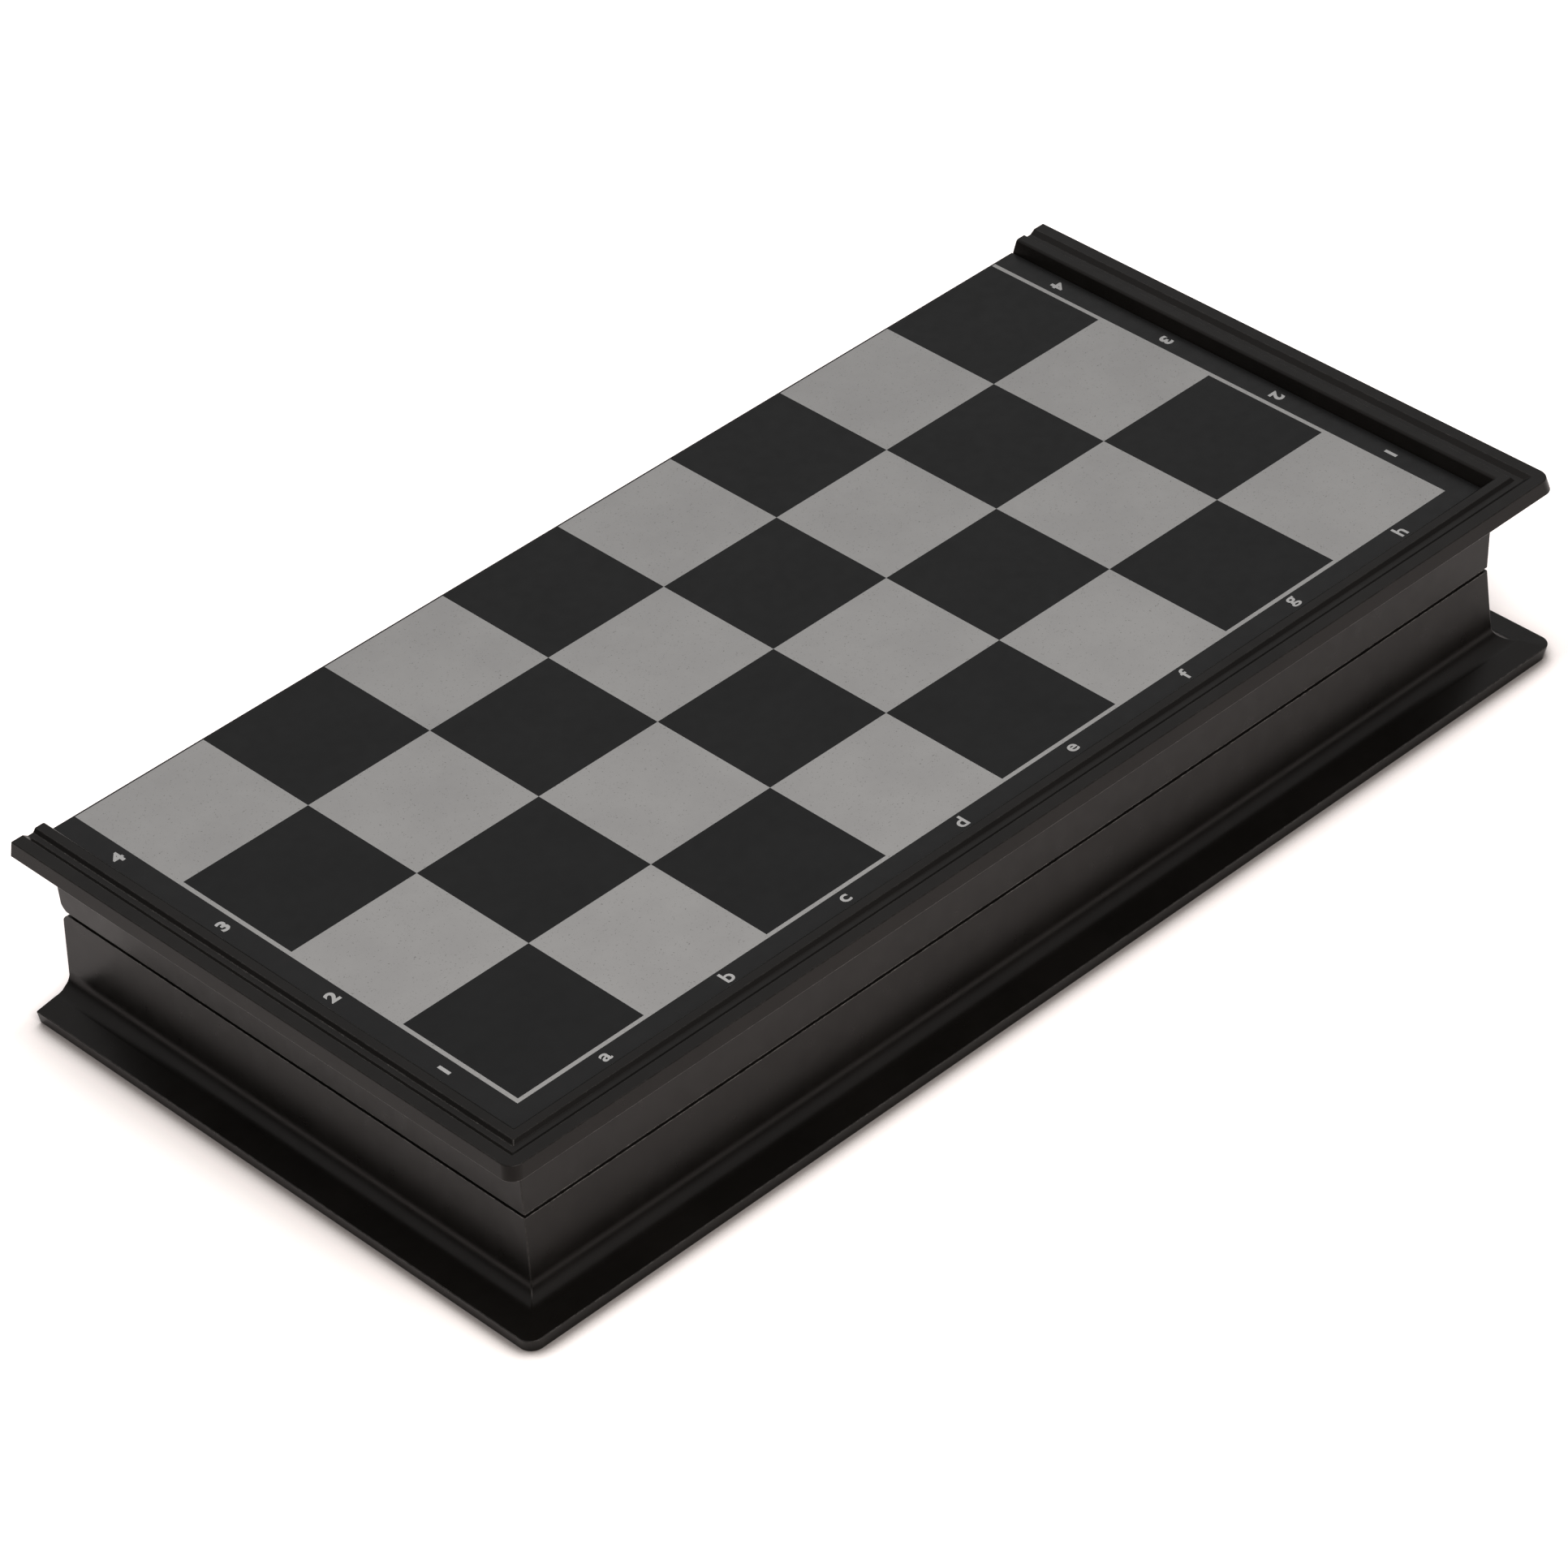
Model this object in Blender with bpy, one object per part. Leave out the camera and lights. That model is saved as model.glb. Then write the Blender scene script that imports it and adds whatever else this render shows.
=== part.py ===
"""Folding magnetic travel chess set, closed. Metres, +Z up, files along +X, hinge side at +Y.

Two mirror-image moulded halves meet at a parting plane. Each one's outer face is half of the
board and each one's inside is a well with a foam insert, which holds sixteen men. Two links
with a pin in each half let the halves fold out flat.
"""

import math

import bmesh
import bpy
from mathutils import Matrix

# Board
SQUARE = 0.0347
FILES = 8
RANKS_PER_HALF = 4
HINGE_MARGIN = 0.0002
CLEARANCE = 0.0003

# Rim moulding, from the edge of the squares outwards
PANEL_BORDER = 0.0074
RIM_HEIGHT = 0.00295
RIDGE_SLOPE = 0.0014
RIDGE_WIDTH = 0.0025
GROOVE_DEPTH = 0.0009
GROOVE_INNER_SLOPE = 0.0007
GROOVE_WIDTH = 0.0014
GROOVE_OUTER_SLOPE = 0.0013
LAND_WIDTH = 0.0031
EDGE_CHAMFER = 0.0002
FLANGE_LEAN = 0.0005
FLANGE_DROP = 0.0006
FLANGE_THICKNESS = 0.00445
COVE_RADIUS = 0.0046
COVE_STEPS = 4
FLANGE_CORNER = 0.0032
SHARP_CORNER = 0.0003
CORNER_STEPS = 4

# Walls
WALL_OFFSET = 0.00785
WALL_DRAFT = 0.00065
WALL = 0.0022
HINGE_WALL = 0.0018
FLOOR = 0.0015
PARTING_GAP = 0.0004
PARTING_CHAMFER = 0.00025

# Board layers
FILM_THICKNESS = 0.0004
STEEL_THICKNESS = 0.0005
STEEL_BORDER = 0.005
STEEL_HINGE_MARGIN = 0.0015

# Men: height, base diameter and outline as (share of base radius, share of height)
MEN = {
    "king": (0.057, 0.021),
    "queen": (0.052, 0.021),
    "bishop": (0.045, 0.020),
    "knight": (0.042, 0.020),
    "rook": (0.036, 0.020),
    "pawn": (0.032, 0.018),
}
FOOT = [(1, 0), (1, 0.1), (0.62, 0.19)]
OUTLINES = {
    "king": FOOT + [(0.36, 0.5), (0.6, 0.62), (0.4, 0.66), (0.56, 0.86), (0.2, 0.92), (0.2, 1)],
    "queen": FOOT + [(0.36, 0.52), (0.6, 0.65), (0.4, 0.7), (0.6, 0.93), (0.2, 1)],
    "bishop": FOOT + [(0.33, 0.52), (0.55, 0.6), (0.36, 0.64), (0.5, 0.76), (0.15, 1)],
    "rook": FOOT + [(0.5, 0.68), (0.7, 0.76), (0.7, 1)],
    "pawn": FOOT + [(0.34, 0.56), (0.56, 0.64), (0.34, 0.68), (0.54, 0.84), (0.2, 1)],
    "knight": FOOT + [(0.58, 0.3)],
}
KNIGHT_HEAD = [(-0.5, 0.26), (0.52, 0.26), (0.3, 0.5), (0.78, 0.6)]
KNIGHT_HEAD += [(0.7, 0.76), (0.1, 1), (-0.35, 0.9), (-0.62, 0.6)]
KNIGHT_HEAD_THICKNESS = 0.009
MAN_SIDES = 12
BACK_ROW = ["rook", "knight", "bishop", "queen", "king", "bishop", "knight", "rook"]

# Foam inserts. A man lies on its side in a pocket, and its base stands past the parting
# plane between two men of the other half, whose columns are half a column over.
MAN_GAP = 0.0027
POCKET_SIDE_GAP = 0.0004
POCKET_END_GAP = 0.0005
INSERT_RECESS = 0.0034
BACK_ROW_FROM_HINGE = 0.0120
FRONT_ROW_FROM_GRID = 0.0085

# Link hinges
HINGE_SPACING = 0.190
PIVOT_INSET = 0.003
LINK_MARGIN = 0.0004
LINK_WIDTH = 0.016
LINK_ROOM = 0.0004
PIN_RADIUS = 0.0008
EAR_WIDTH = 0.0055
EAR_BACK = 0.0014
PIN_END = 0.001
ROUND_STEPS = 8

# Closing magnets
MAGNET_SPACING = 0.180
MAGNET_RADIUS = 0.003
MAGNET_THICKNESS = 0.002
BOSS_WALL = 0.0015
MAGNET_SIDES = 24

# Worked out from the sizes above
GRID_HALF = FILES * SQUARE / 2
RIDGE_OUTER = PANEL_BORDER + RIDGE_SLOPE + RIDGE_WIDTH
GROOVE_START = RIDGE_OUTER + GROOVE_INNER_SLOPE
GROOVE_END = GROOVE_START + GROOVE_WIDTH
LAND_START = GROOVE_END + GROOVE_OUTER_SLOPE
LAND_END = LAND_START + LAND_WIDTH
REACH = LAND_END + EDGE_CHAMFER + FLANGE_LEAN
HINGE_Y = (REACH + RANKS_PER_HALF * SQUARE + HINGE_MARGIN) / 2
GRID_FRONT = REACH - HINGE_Y
COLUMN_SHIFT = SQUARE / 4
WIDEST_BASE = max(base for height, base in MEN.values())
AXIS_DEPTH = math.sqrt((WIDEST_BASE + MAN_GAP) ** 2 - (2 * COLUMN_SHIFT) ** 2) / 2
WELL_DEPTH = AXIS_DEPTH + WIDEST_BASE / 2 + CLEARANCE
STEEL_POCKET_DEPTH = WELL_DEPTH + FLOOR
FILM_SEAT_DEPTH = STEEL_POCKET_DEPTH + CLEARANCE + STEEL_THICKNESS
PANEL_DEPTH = FILM_SEAT_DEPTH + CLEARANCE + FILM_THICKNESS
RIM_DEPTH = PANEL_DEPTH + RIM_HEIGHT
PARTING_Z = RIM_DEPTH
EDGE_DEPTH = PARTING_GAP / 2
INSERT_TOP = WIDEST_BASE / 2 - AXIS_DEPTH + INSERT_RECESS
PIVOT_DEPTH = EDGE_DEPTH + PIVOT_INSET
PIVOT_Y = HINGE_Y - PIVOT_INSET
LINK_RADIUS = PIVOT_INSET - LINK_MARGIN
BORE_RADIUS = PIN_RADIUS + CLEARANCE
SLOT_REACH = LINK_RADIUS + LINK_ROOM
SLOT_WIDTH = LINK_WIDTH + 2 * CLEARANCE
BLOCK_WIDTH = SLOT_WIDTH + 2 * EAR_WIDTH
BLOCK_FACE_Y = PIVOT_Y - SLOT_REACH - EAR_BACK
MAGNET_HOLE = MAGNET_RADIUS + CLEARANCE
MAGNET_Y = GRID_FRONT - WALL_OFFSET + PARTING_CHAMFER + BOSS_WALL + MAGNET_HOLE
BOSS_WIDTH = 2 * (MAGNET_HOLE + BOSS_WALL)
BOSS_FACE_Y = MAGNET_Y + MAGNET_HOLE + BOSS_WALL
WELL_OFFSET = WALL_OFFSET - WALL
PAST = 0.001  # how far a cutter runs past what it cuts


def clear_scene():
    for thing in list(bpy.data.objects):
        bpy.data.objects.remove(thing)


def material(name, colour, roughness, metallic=0.0):
    made = bpy.data.materials.new(name)
    made.use_nodes = True
    shader = made.node_tree.nodes["Principled BSDF"]
    shader.inputs["Base Color"].default_value = (*colour, 1)
    shader.inputs["Roughness"].default_value = roughness
    shader.inputs["Metallic"].default_value = metallic
    return made


def mesh_of(name, shape):
    """A mesh from a bmesh, welded and with its faces pointing out."""
    bmesh.ops.remove_doubles(shape, verts=shape.verts, dist=1e-7)
    bmesh.ops.recalc_face_normals(shape, faces=shape.faces)
    mesh = bpy.data.meshes.new(name)
    shape.to_mesh(mesh)
    shape.free()
    return mesh


def prism(name, outline, low, high, along="Z"):
    """The outline, a list of (first, second) points, pulled from low to high along one axis."""
    turn = {"X": lambda a, b, c: (c, a, b), "Z": lambda a, b, c: (a, b, c)}[along]
    shape = bmesh.new()
    ends = [[shape.verts.new(turn(a, b, level)) for a, b in outline] for level in (low, high)]
    shape.faces.new(ends[0])
    shape.faces.new(ends[1])
    for index in range(len(outline)):
        after = (index + 1) % len(outline)
        shape.faces.new((ends[0][index], ends[0][after], ends[1][after], ends[1][index]))
    bmesh.ops.triangulate(shape, faces=[face for face in shape.faces if len(face.verts) > 4])
    return mesh_of(name, shape)


def rectangle(left, right, front, back):
    return [(left, front), (right, front), (right, back), (left, back)]


def circle(centre, radius, sides):
    angles = [2 * math.pi * index / sides for index in range(sides)]
    return [(centre[0] + radius * math.cos(a), centre[1] + radius * math.sin(a)) for a in angles]


def down(depth):
    """Height of a point of the lower half that is this far from the parting plane."""
    return PARTING_Z - depth


def merged(name, meshes):
    shape = bmesh.new()
    for mesh in meshes:
        shape.from_mesh(mesh)
    return mesh_of(name, shape)


def boolean(name, base, other, operation):
    """The mesh that Blender's Boolean makes of two meshes."""
    body = bpy.data.objects.new(name, base)
    tool = bpy.data.objects.new(name + "_tool", other)
    for thing in (body, tool):
        bpy.context.scene.collection.objects.link(thing)
    modifier = body.modifiers.new("Boolean", "BOOLEAN")
    modifier.operation = operation
    modifier.object = tool
    graph = bpy.context.evaluated_depsgraph_get()
    result = bpy.data.meshes.new_from_object(body.evaluated_get(graph))
    for thing in (body, tool):
        bpy.data.objects.remove(thing)
    return result


def about_parting_plane(change):
    """The matrix that makes this change about a point of the parting plane."""
    return Matrix.Translation((0, 0, PARTING_Z)) @ change @ Matrix.Translation((0, 0, -PARTING_Z))


def mirrored(mesh):
    """The mesh as it is on the other side of the parting plane."""
    copy = mesh.copy()
    copy.transform(about_parting_plane(Matrix.Scale(-1, 4, (0, 0, 1))))
    copy.flip_normals()
    return copy


def add(name, mesh, finish, location=(0, 0, 0), place=None):
    """An object of this mesh at a location, or at a place given as a matrix."""
    thing = bpy.data.objects.new(name, mesh)
    thing.matrix_world = place or Matrix.Translation(location)
    if not mesh.materials:
        mesh.materials.append(finish)
    mesh.shade_smooth()
    mesh.set_sharp_from_angle(angle=math.radians(35))
    bpy.context.scene.collection.objects.link(thing)
    return thing


def shell_outline():
    """Points (offset from the squares, depth, corner radius), from the parting edge to the film's seat."""
    flange_edge_depth = PANEL_DEPTH - FLANGE_DROP
    underside_depth = RIM_DEPTH - FLANGE_THICKNESS
    wall_top_offset = WALL_OFFSET + WALL_DRAFT
    cove_offset = wall_top_offset + COVE_RADIUS
    cove_depth = underside_depth - COVE_RADIUS
    points = [
        (WALL_OFFSET - PARTING_CHAMFER, EDGE_DEPTH, SHARP_CORNER),
        (WALL_OFFSET, EDGE_DEPTH + PARTING_CHAMFER, SHARP_CORNER),
    ]
    for step in range(COVE_STEPS + 1):
        angle = math.pi / 2 * step / COVE_STEPS
        across = cove_offset - COVE_RADIUS * math.cos(angle)
        deep = cove_depth + COVE_RADIUS * math.sin(angle)
        points.append((across, deep, SHARP_CORNER))
    points += [
        (REACH, flange_edge_depth, FLANGE_CORNER),
        (LAND_END + EDGE_CHAMFER, RIM_DEPTH - EDGE_CHAMFER, FLANGE_CORNER),
        (LAND_END, RIM_DEPTH, FLANGE_CORNER),
        (LAND_START, RIM_DEPTH, SHARP_CORNER),
        (GROOVE_END, RIM_DEPTH - GROOVE_DEPTH, SHARP_CORNER),
        (GROOVE_START, RIM_DEPTH - GROOVE_DEPTH, SHARP_CORNER),
        (RIDGE_OUTER, RIM_DEPTH, SHARP_CORNER),
        (PANEL_BORDER + RIDGE_SLOPE, RIM_DEPTH, SHARP_CORNER),
        (PANEL_BORDER, PANEL_DEPTH, SHARP_CORNER),
        (PANEL_BORDER, FILM_SEAT_DEPTH, SHARP_CORNER),
    ]
    return points


def open_path(offset, radius):
    """(x, y) points at this offset from the squares: up to the hinge side, left, front and right."""
    side = GRID_HALF + offset
    front = GRID_FRONT - offset
    path = [(-side, HINGE_Y)]
    for centre_x, start in ((-side + radius, math.pi), (side - radius, 1.5 * math.pi)):
        for step in range(CORNER_STEPS + 1):
            angle = start + math.pi / 2 * step / CORNER_STEPS
            path.append((centre_x + radius * math.cos(angle), front + radius + radius * math.sin(angle)))
    path.append((side, HINGE_Y))
    return path


def shell_block():
    """The lower half's outside, still solid."""
    shape = bmesh.new()
    rows = []
    for offset, depth, radius in shell_outline():
        rows.append([shape.verts.new((x, y, down(depth))) for x, y in open_path(offset, radius)])
    for row, following in zip(rows, rows[1:]):
        for index in range(len(row) - 1):
            shape.faces.new((row[index], row[index + 1], following[index + 1], following[index]))
    shape.faces.new(rows[0])
    shape.faces.new(rows[-1])
    shape.faces.new([row[0] for row in rows] + [row[-1] for row in reversed(rows)])
    bmesh.ops.triangulate(shape, faces=[face for face in shape.faces if len(face.verts) > 4])
    return mesh_of("shell_block", shape)


def notch(start, end, edge, face):
    """An outline's four points where it leaves an edge at start, runs along a face and comes back at end."""
    return [(start, edge), (start, face), (end, face), (end, edge)]


def well_outline(gap):
    """Plan of the well, drawn in by gap, with the magnet bosses and hinge blocks standing into it."""
    side = GRID_HALF + WELL_OFFSET - gap
    front = GRID_FRONT - WELL_OFFSET + gap
    back = HINGE_Y - HINGE_WALL - gap
    outline = [(-side, front)]
    for x in (-MAGNET_SPACING / 2, MAGNET_SPACING / 2):
        outline += notch(x - BOSS_WIDTH / 2 - gap, x + BOSS_WIDTH / 2 + gap, front, BOSS_FACE_Y + gap)
    outline += [(side, front), (side, back)]
    for x in (HINGE_SPACING / 2, -HINGE_SPACING / 2):
        outline += notch(x + BLOCK_WIDTH / 2 + gap, x - BLOCK_WIDTH / 2 - gap, back, BLOCK_FACE_Y - gap)
    outline.append((-side, back))
    return outline


def hinge_edge_cutter():
    """Rounds the hinge-side edge about the pivot, so that the two halves roll past each other."""
    outline = [(PIVOT_Y, down(EDGE_DEPTH - PAST)), (HINGE_Y + PAST, down(EDGE_DEPTH - PAST))]
    outline += [(HINGE_Y + PAST, down(PIVOT_DEPTH)), (HINGE_Y, down(PIVOT_DEPTH))]
    for step in range(1, ROUND_STEPS + 1):
        angle = math.pi / 2 * step / ROUND_STEPS
        across = PIVOT_Y + PIVOT_INSET * math.cos(angle)
        outline.append((across, down(PIVOT_DEPTH) + PIVOT_INSET * math.sin(angle)))
    side = GRID_HALF + REACH + PAST
    return prism("edge_cutter", outline, -side, side, along="X")


def hinge_cutters():
    """The slots that the links turn in."""
    slots = []
    for x in (-HINGE_SPACING / 2, HINGE_SPACING / 2):
        plan = rectangle(x - SLOT_WIDTH / 2, x + SLOT_WIDTH / 2, PIVOT_Y - SLOT_REACH, HINGE_Y + PAST)
        slots.append(prism("slot", plan, down(PIVOT_DEPTH + SLOT_REACH), down(EDGE_DEPTH - PAST)))
    return merged("slots", slots)


def bore_cutters():
    """The pin bores through the ears on both sides of each slot."""
    bores = []
    for x in (-HINGE_SPACING / 2, HINGE_SPACING / 2):
        round_ = circle((PIVOT_Y, down(PIVOT_DEPTH)), BORE_RADIUS, ROUND_STEPS * 2)
        bores.append(prism("bore", round_, x - BLOCK_WIDTH / 2 - PAST, x + BLOCK_WIDTH / 2 + PAST, along="X"))
    return merged("bores", bores)


def magnet_cutters():
    """The holes that the closing magnets sit in, open at the parting face."""
    holes = []
    bottom = down(EDGE_DEPTH + MAGNET_THICKNESS + CLEARANCE)
    for x in (-MAGNET_SPACING / 2, MAGNET_SPACING / 2):
        round_ = circle((x, MAGNET_Y), MAGNET_HOLE, MAGNET_SIDES)
        holes.append(prism("hole", round_, bottom, down(EDGE_DEPTH - PAST)))
    return merged("holes", holes)


def steel_pocket_cutter():
    side = GRID_HALF + STEEL_BORDER
    plan = rectangle(-side, side, GRID_FRONT - STEEL_BORDER, HINGE_Y - STEEL_HINGE_MARGIN)
    return prism("steel_pocket", plan, down(FILM_SEAT_DEPTH + PAST), down(STEEL_POCKET_DEPTH))


def lower_shell():
    mesh = shell_block()
    well = prism("well", well_outline(0), down(WELL_DEPTH), down(EDGE_DEPTH - PAST))
    hinge_tools = (hinge_edge_cutter(), hinge_cutters(), bore_cutters())
    for tool in (well, steel_pocket_cutter(), *hinge_tools, magnet_cutters()):
        mesh = boolean("case", mesh, tool, "DIFFERENCE")
    return mesh


def lower_film():
    """The printed board sheet, which fills the recess inside the rim."""
    side = GRID_HALF + PANEL_BORDER - CLEARANCE
    plan = rectangle(-side, side, GRID_FRONT - PANEL_BORDER + CLEARANCE, HINGE_Y)
    return prism("film", plan, down(PANEL_DEPTH), down(PANEL_DEPTH - FILM_THICKNESS))


def lower_steel():
    """The sheet under the film that the men's magnets hold on to."""
    side = GRID_HALF + STEEL_BORDER - CLEARANCE
    front = GRID_FRONT - STEEL_BORDER + CLEARANCE
    plan = rectangle(-side, side, front, HINGE_Y - STEEL_HINGE_MARGIN - CLEARANCE)
    low = down(STEEL_POCKET_DEPTH + CLEARANCE + STEEL_THICKNESS)
    return prism("steel", plan, low, down(STEEL_POCKET_DEPTH + CLEARANCE))


def man_places():
    """(kind, column x, base y, whether the base is at the hinge side) of the lower half's sixteen men."""
    places = []
    for column, kind in enumerate(BACK_ROW):
        x = (column - (FILES - 1) / 2) * SQUARE + COLUMN_SHIFT
        places.append((kind, x, HINGE_Y - BACK_ROW_FROM_HINGE, True))
        places.append(("pawn", x, GRID_FRONT + FRONT_ROW_FROM_GRID, False))
    return places


def lower_insert():
    """The foam sheet, with a pocket through it for each man."""
    body = prism("foam", well_outline(CLEARANCE), down(WELL_DEPTH - CLEARANCE), down(INSERT_TOP))
    pockets = []
    for kind, x, base_y, base_at_hinge in man_places():
        height, base = MEN[kind]
        half = base / 2 + POCKET_SIDE_GAP
        near, far = base_y - height - POCKET_END_GAP, base_y + POCKET_END_GAP
        if not base_at_hinge:
            near, far = base_y - POCKET_END_GAP, base_y + height + POCKET_END_GAP
        plan = rectangle(x - half, x + half, near, far)
        pockets.append(prism("pocket", plan, down(WELL_DEPTH + PAST), down(INSERT_TOP - PAST)))
    return boolean("insert", body, merged("pockets", pockets), "DIFFERENCE")


def turned(name, outline, base_radius, height):
    """A solid turned about Z from points (share of base radius, share of height)."""
    shape = bmesh.new()
    rings = []
    for share, level in outline:
        ring = circle((0, 0), share * base_radius, MAN_SIDES)
        rings.append([shape.verts.new((x, y, level * height)) for x, y in ring])
    for ring, following in zip(rings, rings[1:]):
        for index in range(MAN_SIDES):
            after = (index + 1) % MAN_SIDES
            shape.faces.new((ring[index], ring[after], following[after], following[index]))
    shape.faces.new(rings[0])
    shape.faces.new(rings[-1])
    return mesh_of(name, shape)


def man(kind):
    height, base = MEN[kind]
    body = turned(kind, OUTLINES[kind], base / 2, height)
    if kind != "knight":
        return body
    outline = [(across * base / 2, level * height) for across, level in KNIGHT_HEAD]
    head = prism("head", outline, -KNIGHT_HEAD_THICKNESS / 2, KNIGHT_HEAD_THICKNESS / 2, along="X")
    return boolean(kind, body, head, "UNION")


def add_men(lower_finish, upper_finish):
    """Sixteen men in each half. The upper ones are the lower ones turned half round about Y."""
    half_turn = about_parting_plane(Matrix.Rotation(math.pi, 4, "Y"))
    for side, finish, turn in (("lower", lower_finish, Matrix()), ("upper", upper_finish, half_turn)):
        meshes = {kind: man(kind) for kind in MEN}
        counts = dict.fromkeys(MEN, 0)
        for kind, x, base_y, base_at_hinge in man_places():
            counts[kind] += 1
            name = f"{side}_{kind}" if kind in ("king", "queen") else f"{side}_{kind}_{counts[kind]}"
            tilt = Matrix.Rotation(math.pi / 2 if base_at_hinge else -math.pi / 2, 4, "X")
            rest = down(WELL_DEPTH - CLEARANCE) + MEN[kind][1] / 2
            place = turn @ Matrix.Translation((x, base_y, rest)) @ tilt
            add(name, meshes[kind], finish, place=place)


def link():
    """A link with a bore at each end, upright about the parting plane when the case is closed."""
    outline = []
    for centre, start in ((down(PIVOT_DEPTH), math.pi), (down(-PIVOT_DEPTH), 0)):
        for step in range(ROUND_STEPS + 1):
            angle = start + math.pi * step / ROUND_STEPS
            outline.append((PIVOT_Y + LINK_RADIUS * math.cos(angle), centre + LINK_RADIUS * math.sin(angle)))
    body = prism("link", outline, -LINK_WIDTH / 2, LINK_WIDTH / 2, along="X")
    bores = []
    for depth in (PIVOT_DEPTH, -PIVOT_DEPTH):
        round_ = circle((PIVOT_Y, down(depth)), BORE_RADIUS, ROUND_STEPS * 2)
        bores.append(prism("bore", round_, -LINK_WIDTH / 2 - PAST, LINK_WIDTH / 2 + PAST, along="X"))
    return boolean("link", body, merged("bores", bores), "DIFFERENCE")


def add_hinges(link_finish, pin_finish):
    """Two links, and in each half a pin through each link."""
    link_mesh = link()
    reach = BLOCK_WIDTH / 2 - PIN_END
    pin_mesh = prism("pin", circle((0, 0), PIN_RADIUS, ROUND_STEPS * 2), -reach, reach, along="X")
    for side, x in (("left", -HINGE_SPACING / 2), ("right", HINGE_SPACING / 2)):
        add(f"hinge_link_{side}", link_mesh, link_finish, location=(x, 0, 0))
        add(f"lower_hinge_pin_{side}", pin_mesh, pin_finish, location=(x, PIVOT_Y, down(PIVOT_DEPTH)))
        add(f"upper_hinge_pin_{side}", pin_mesh, pin_finish, location=(x, PIVOT_Y, down(-PIVOT_DEPTH)))


def add_magnets(magnet_finish, striker_finish):
    """A magnet in the lower half and a steel disc in the upper one, face to face."""
    half = MAGNET_THICKNESS / 2
    disc = prism("disc", circle((0, 0), MAGNET_RADIUS, MAGNET_SIDES), -half, half)
    striker = disc.copy()
    middle = EDGE_DEPTH + half
    for side, x in (("left", -MAGNET_SPACING / 2), ("right", MAGNET_SPACING / 2)):
        add(f"closing_magnet_{side}", disc, magnet_finish, location=(x, MAGNET_Y, down(middle)))
        add(f"striker_disc_{side}", striker, striker_finish, location=(x, MAGNET_Y, down(-middle)))


def build():
    clear_scene()
    black = material("black_plastic", (0.017, 0.016, 0.015), 0.45)
    print_black = material("board_black", (0.016, 0.016, 0.016), 0.4)
    steel = material("sheet_steel", (0.55, 0.56, 0.58), 0.35, 1.0)
    pin_steel = material("pin_steel", (0.62, 0.62, 0.63), 0.25, 1.0)
    magnet = material("magnet_nickel", (0.7, 0.68, 0.64), 0.2, 1.0)
    foam = material("black_foam", (0.03, 0.03, 0.032), 0.9)
    silver_men = material("silver_men", (0.42, 0.42, 0.41), 0.35)
    black_men = material("black_men", (0.02, 0.02, 0.02), 0.35)
    link_black = material("link_plastic", (0.02, 0.02, 0.02), 0.5)
    layers = (
        ("case", lower_shell(), black),
        ("board_film", lower_film(), print_black),
        ("steel_sheet", lower_steel(), steel),
    )
    for name, mesh, finish in layers:
        add(f"lower_{name}", mesh, finish)
        add(f"upper_{name}", mirrored(mesh), finish)
    insert = lower_insert()
    add("lower_foam_insert", insert, foam)
    add("upper_foam_insert", insert, foam, place=about_parting_plane(Matrix.Rotation(math.pi, 4, "Y")))
    add_hinges(link_black, pin_steel)
    add_magnets(magnet, pin_steel)
    add_men(silver_men, black_men)


build()
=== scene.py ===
import math

import bmesh
import bpy
from mathutils import Matrix, Vector


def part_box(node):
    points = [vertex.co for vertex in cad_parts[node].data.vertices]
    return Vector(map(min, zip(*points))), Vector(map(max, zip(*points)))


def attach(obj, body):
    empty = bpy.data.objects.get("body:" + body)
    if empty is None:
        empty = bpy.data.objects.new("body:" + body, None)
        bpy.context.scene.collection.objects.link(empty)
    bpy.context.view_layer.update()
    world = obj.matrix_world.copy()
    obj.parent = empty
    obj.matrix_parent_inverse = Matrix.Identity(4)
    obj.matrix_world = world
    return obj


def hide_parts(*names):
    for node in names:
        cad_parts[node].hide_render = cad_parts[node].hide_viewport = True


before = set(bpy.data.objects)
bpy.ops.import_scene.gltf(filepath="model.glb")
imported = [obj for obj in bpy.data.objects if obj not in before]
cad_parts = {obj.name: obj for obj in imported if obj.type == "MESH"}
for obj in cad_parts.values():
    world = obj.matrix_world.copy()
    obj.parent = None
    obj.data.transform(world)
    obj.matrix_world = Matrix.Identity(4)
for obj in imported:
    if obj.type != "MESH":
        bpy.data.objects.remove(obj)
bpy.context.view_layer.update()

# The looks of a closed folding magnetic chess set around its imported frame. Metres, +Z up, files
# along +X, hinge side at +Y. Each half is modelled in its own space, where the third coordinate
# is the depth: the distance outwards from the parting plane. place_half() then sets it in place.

MM = 0.001

# Clearances and sizes of the moulding, in metres
CLEARANCE = 0.3 * MM
PANEL_BORDER = 7.4 * MM
RIDGE_SLOPE = 1.4 * MM
RIDGE_WIDTH = 2.5 * MM
GROOVE_DEPTH = 0.9 * MM
GROOVE_INNER_SLOPE = 0.7 * MM
GROOVE_WIDTH = 1.4 * MM
GROOVE_OUTER_SLOPE = 1.3 * MM
FLANGE_LEAN = 0.7 * MM
FLANGE_DROP = 0.6 * MM
FLANGE_THICKNESS = 4.45 * MM
FLANGE_CORNER = 3.2 * MM
COVE_RADIUS = 4.6 * MM
COVE_STEPS = 20
SHARP_CORNER = 0.3 * MM
CORNER_STEPS = 12
END_CHAMFER = 0.15 * MM
WALL_OFFSET = 7.85 * MM
WALL_DRAFT = 0.65 * MM
WALL = 2.2 * MM
HINGE_WALL = 1.8 * MM
FLOOR = 1.5 * MM
EDGE_DEPTH = 0.2 * MM
REVEAL_WIDTH = 0.6 * MM
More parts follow.
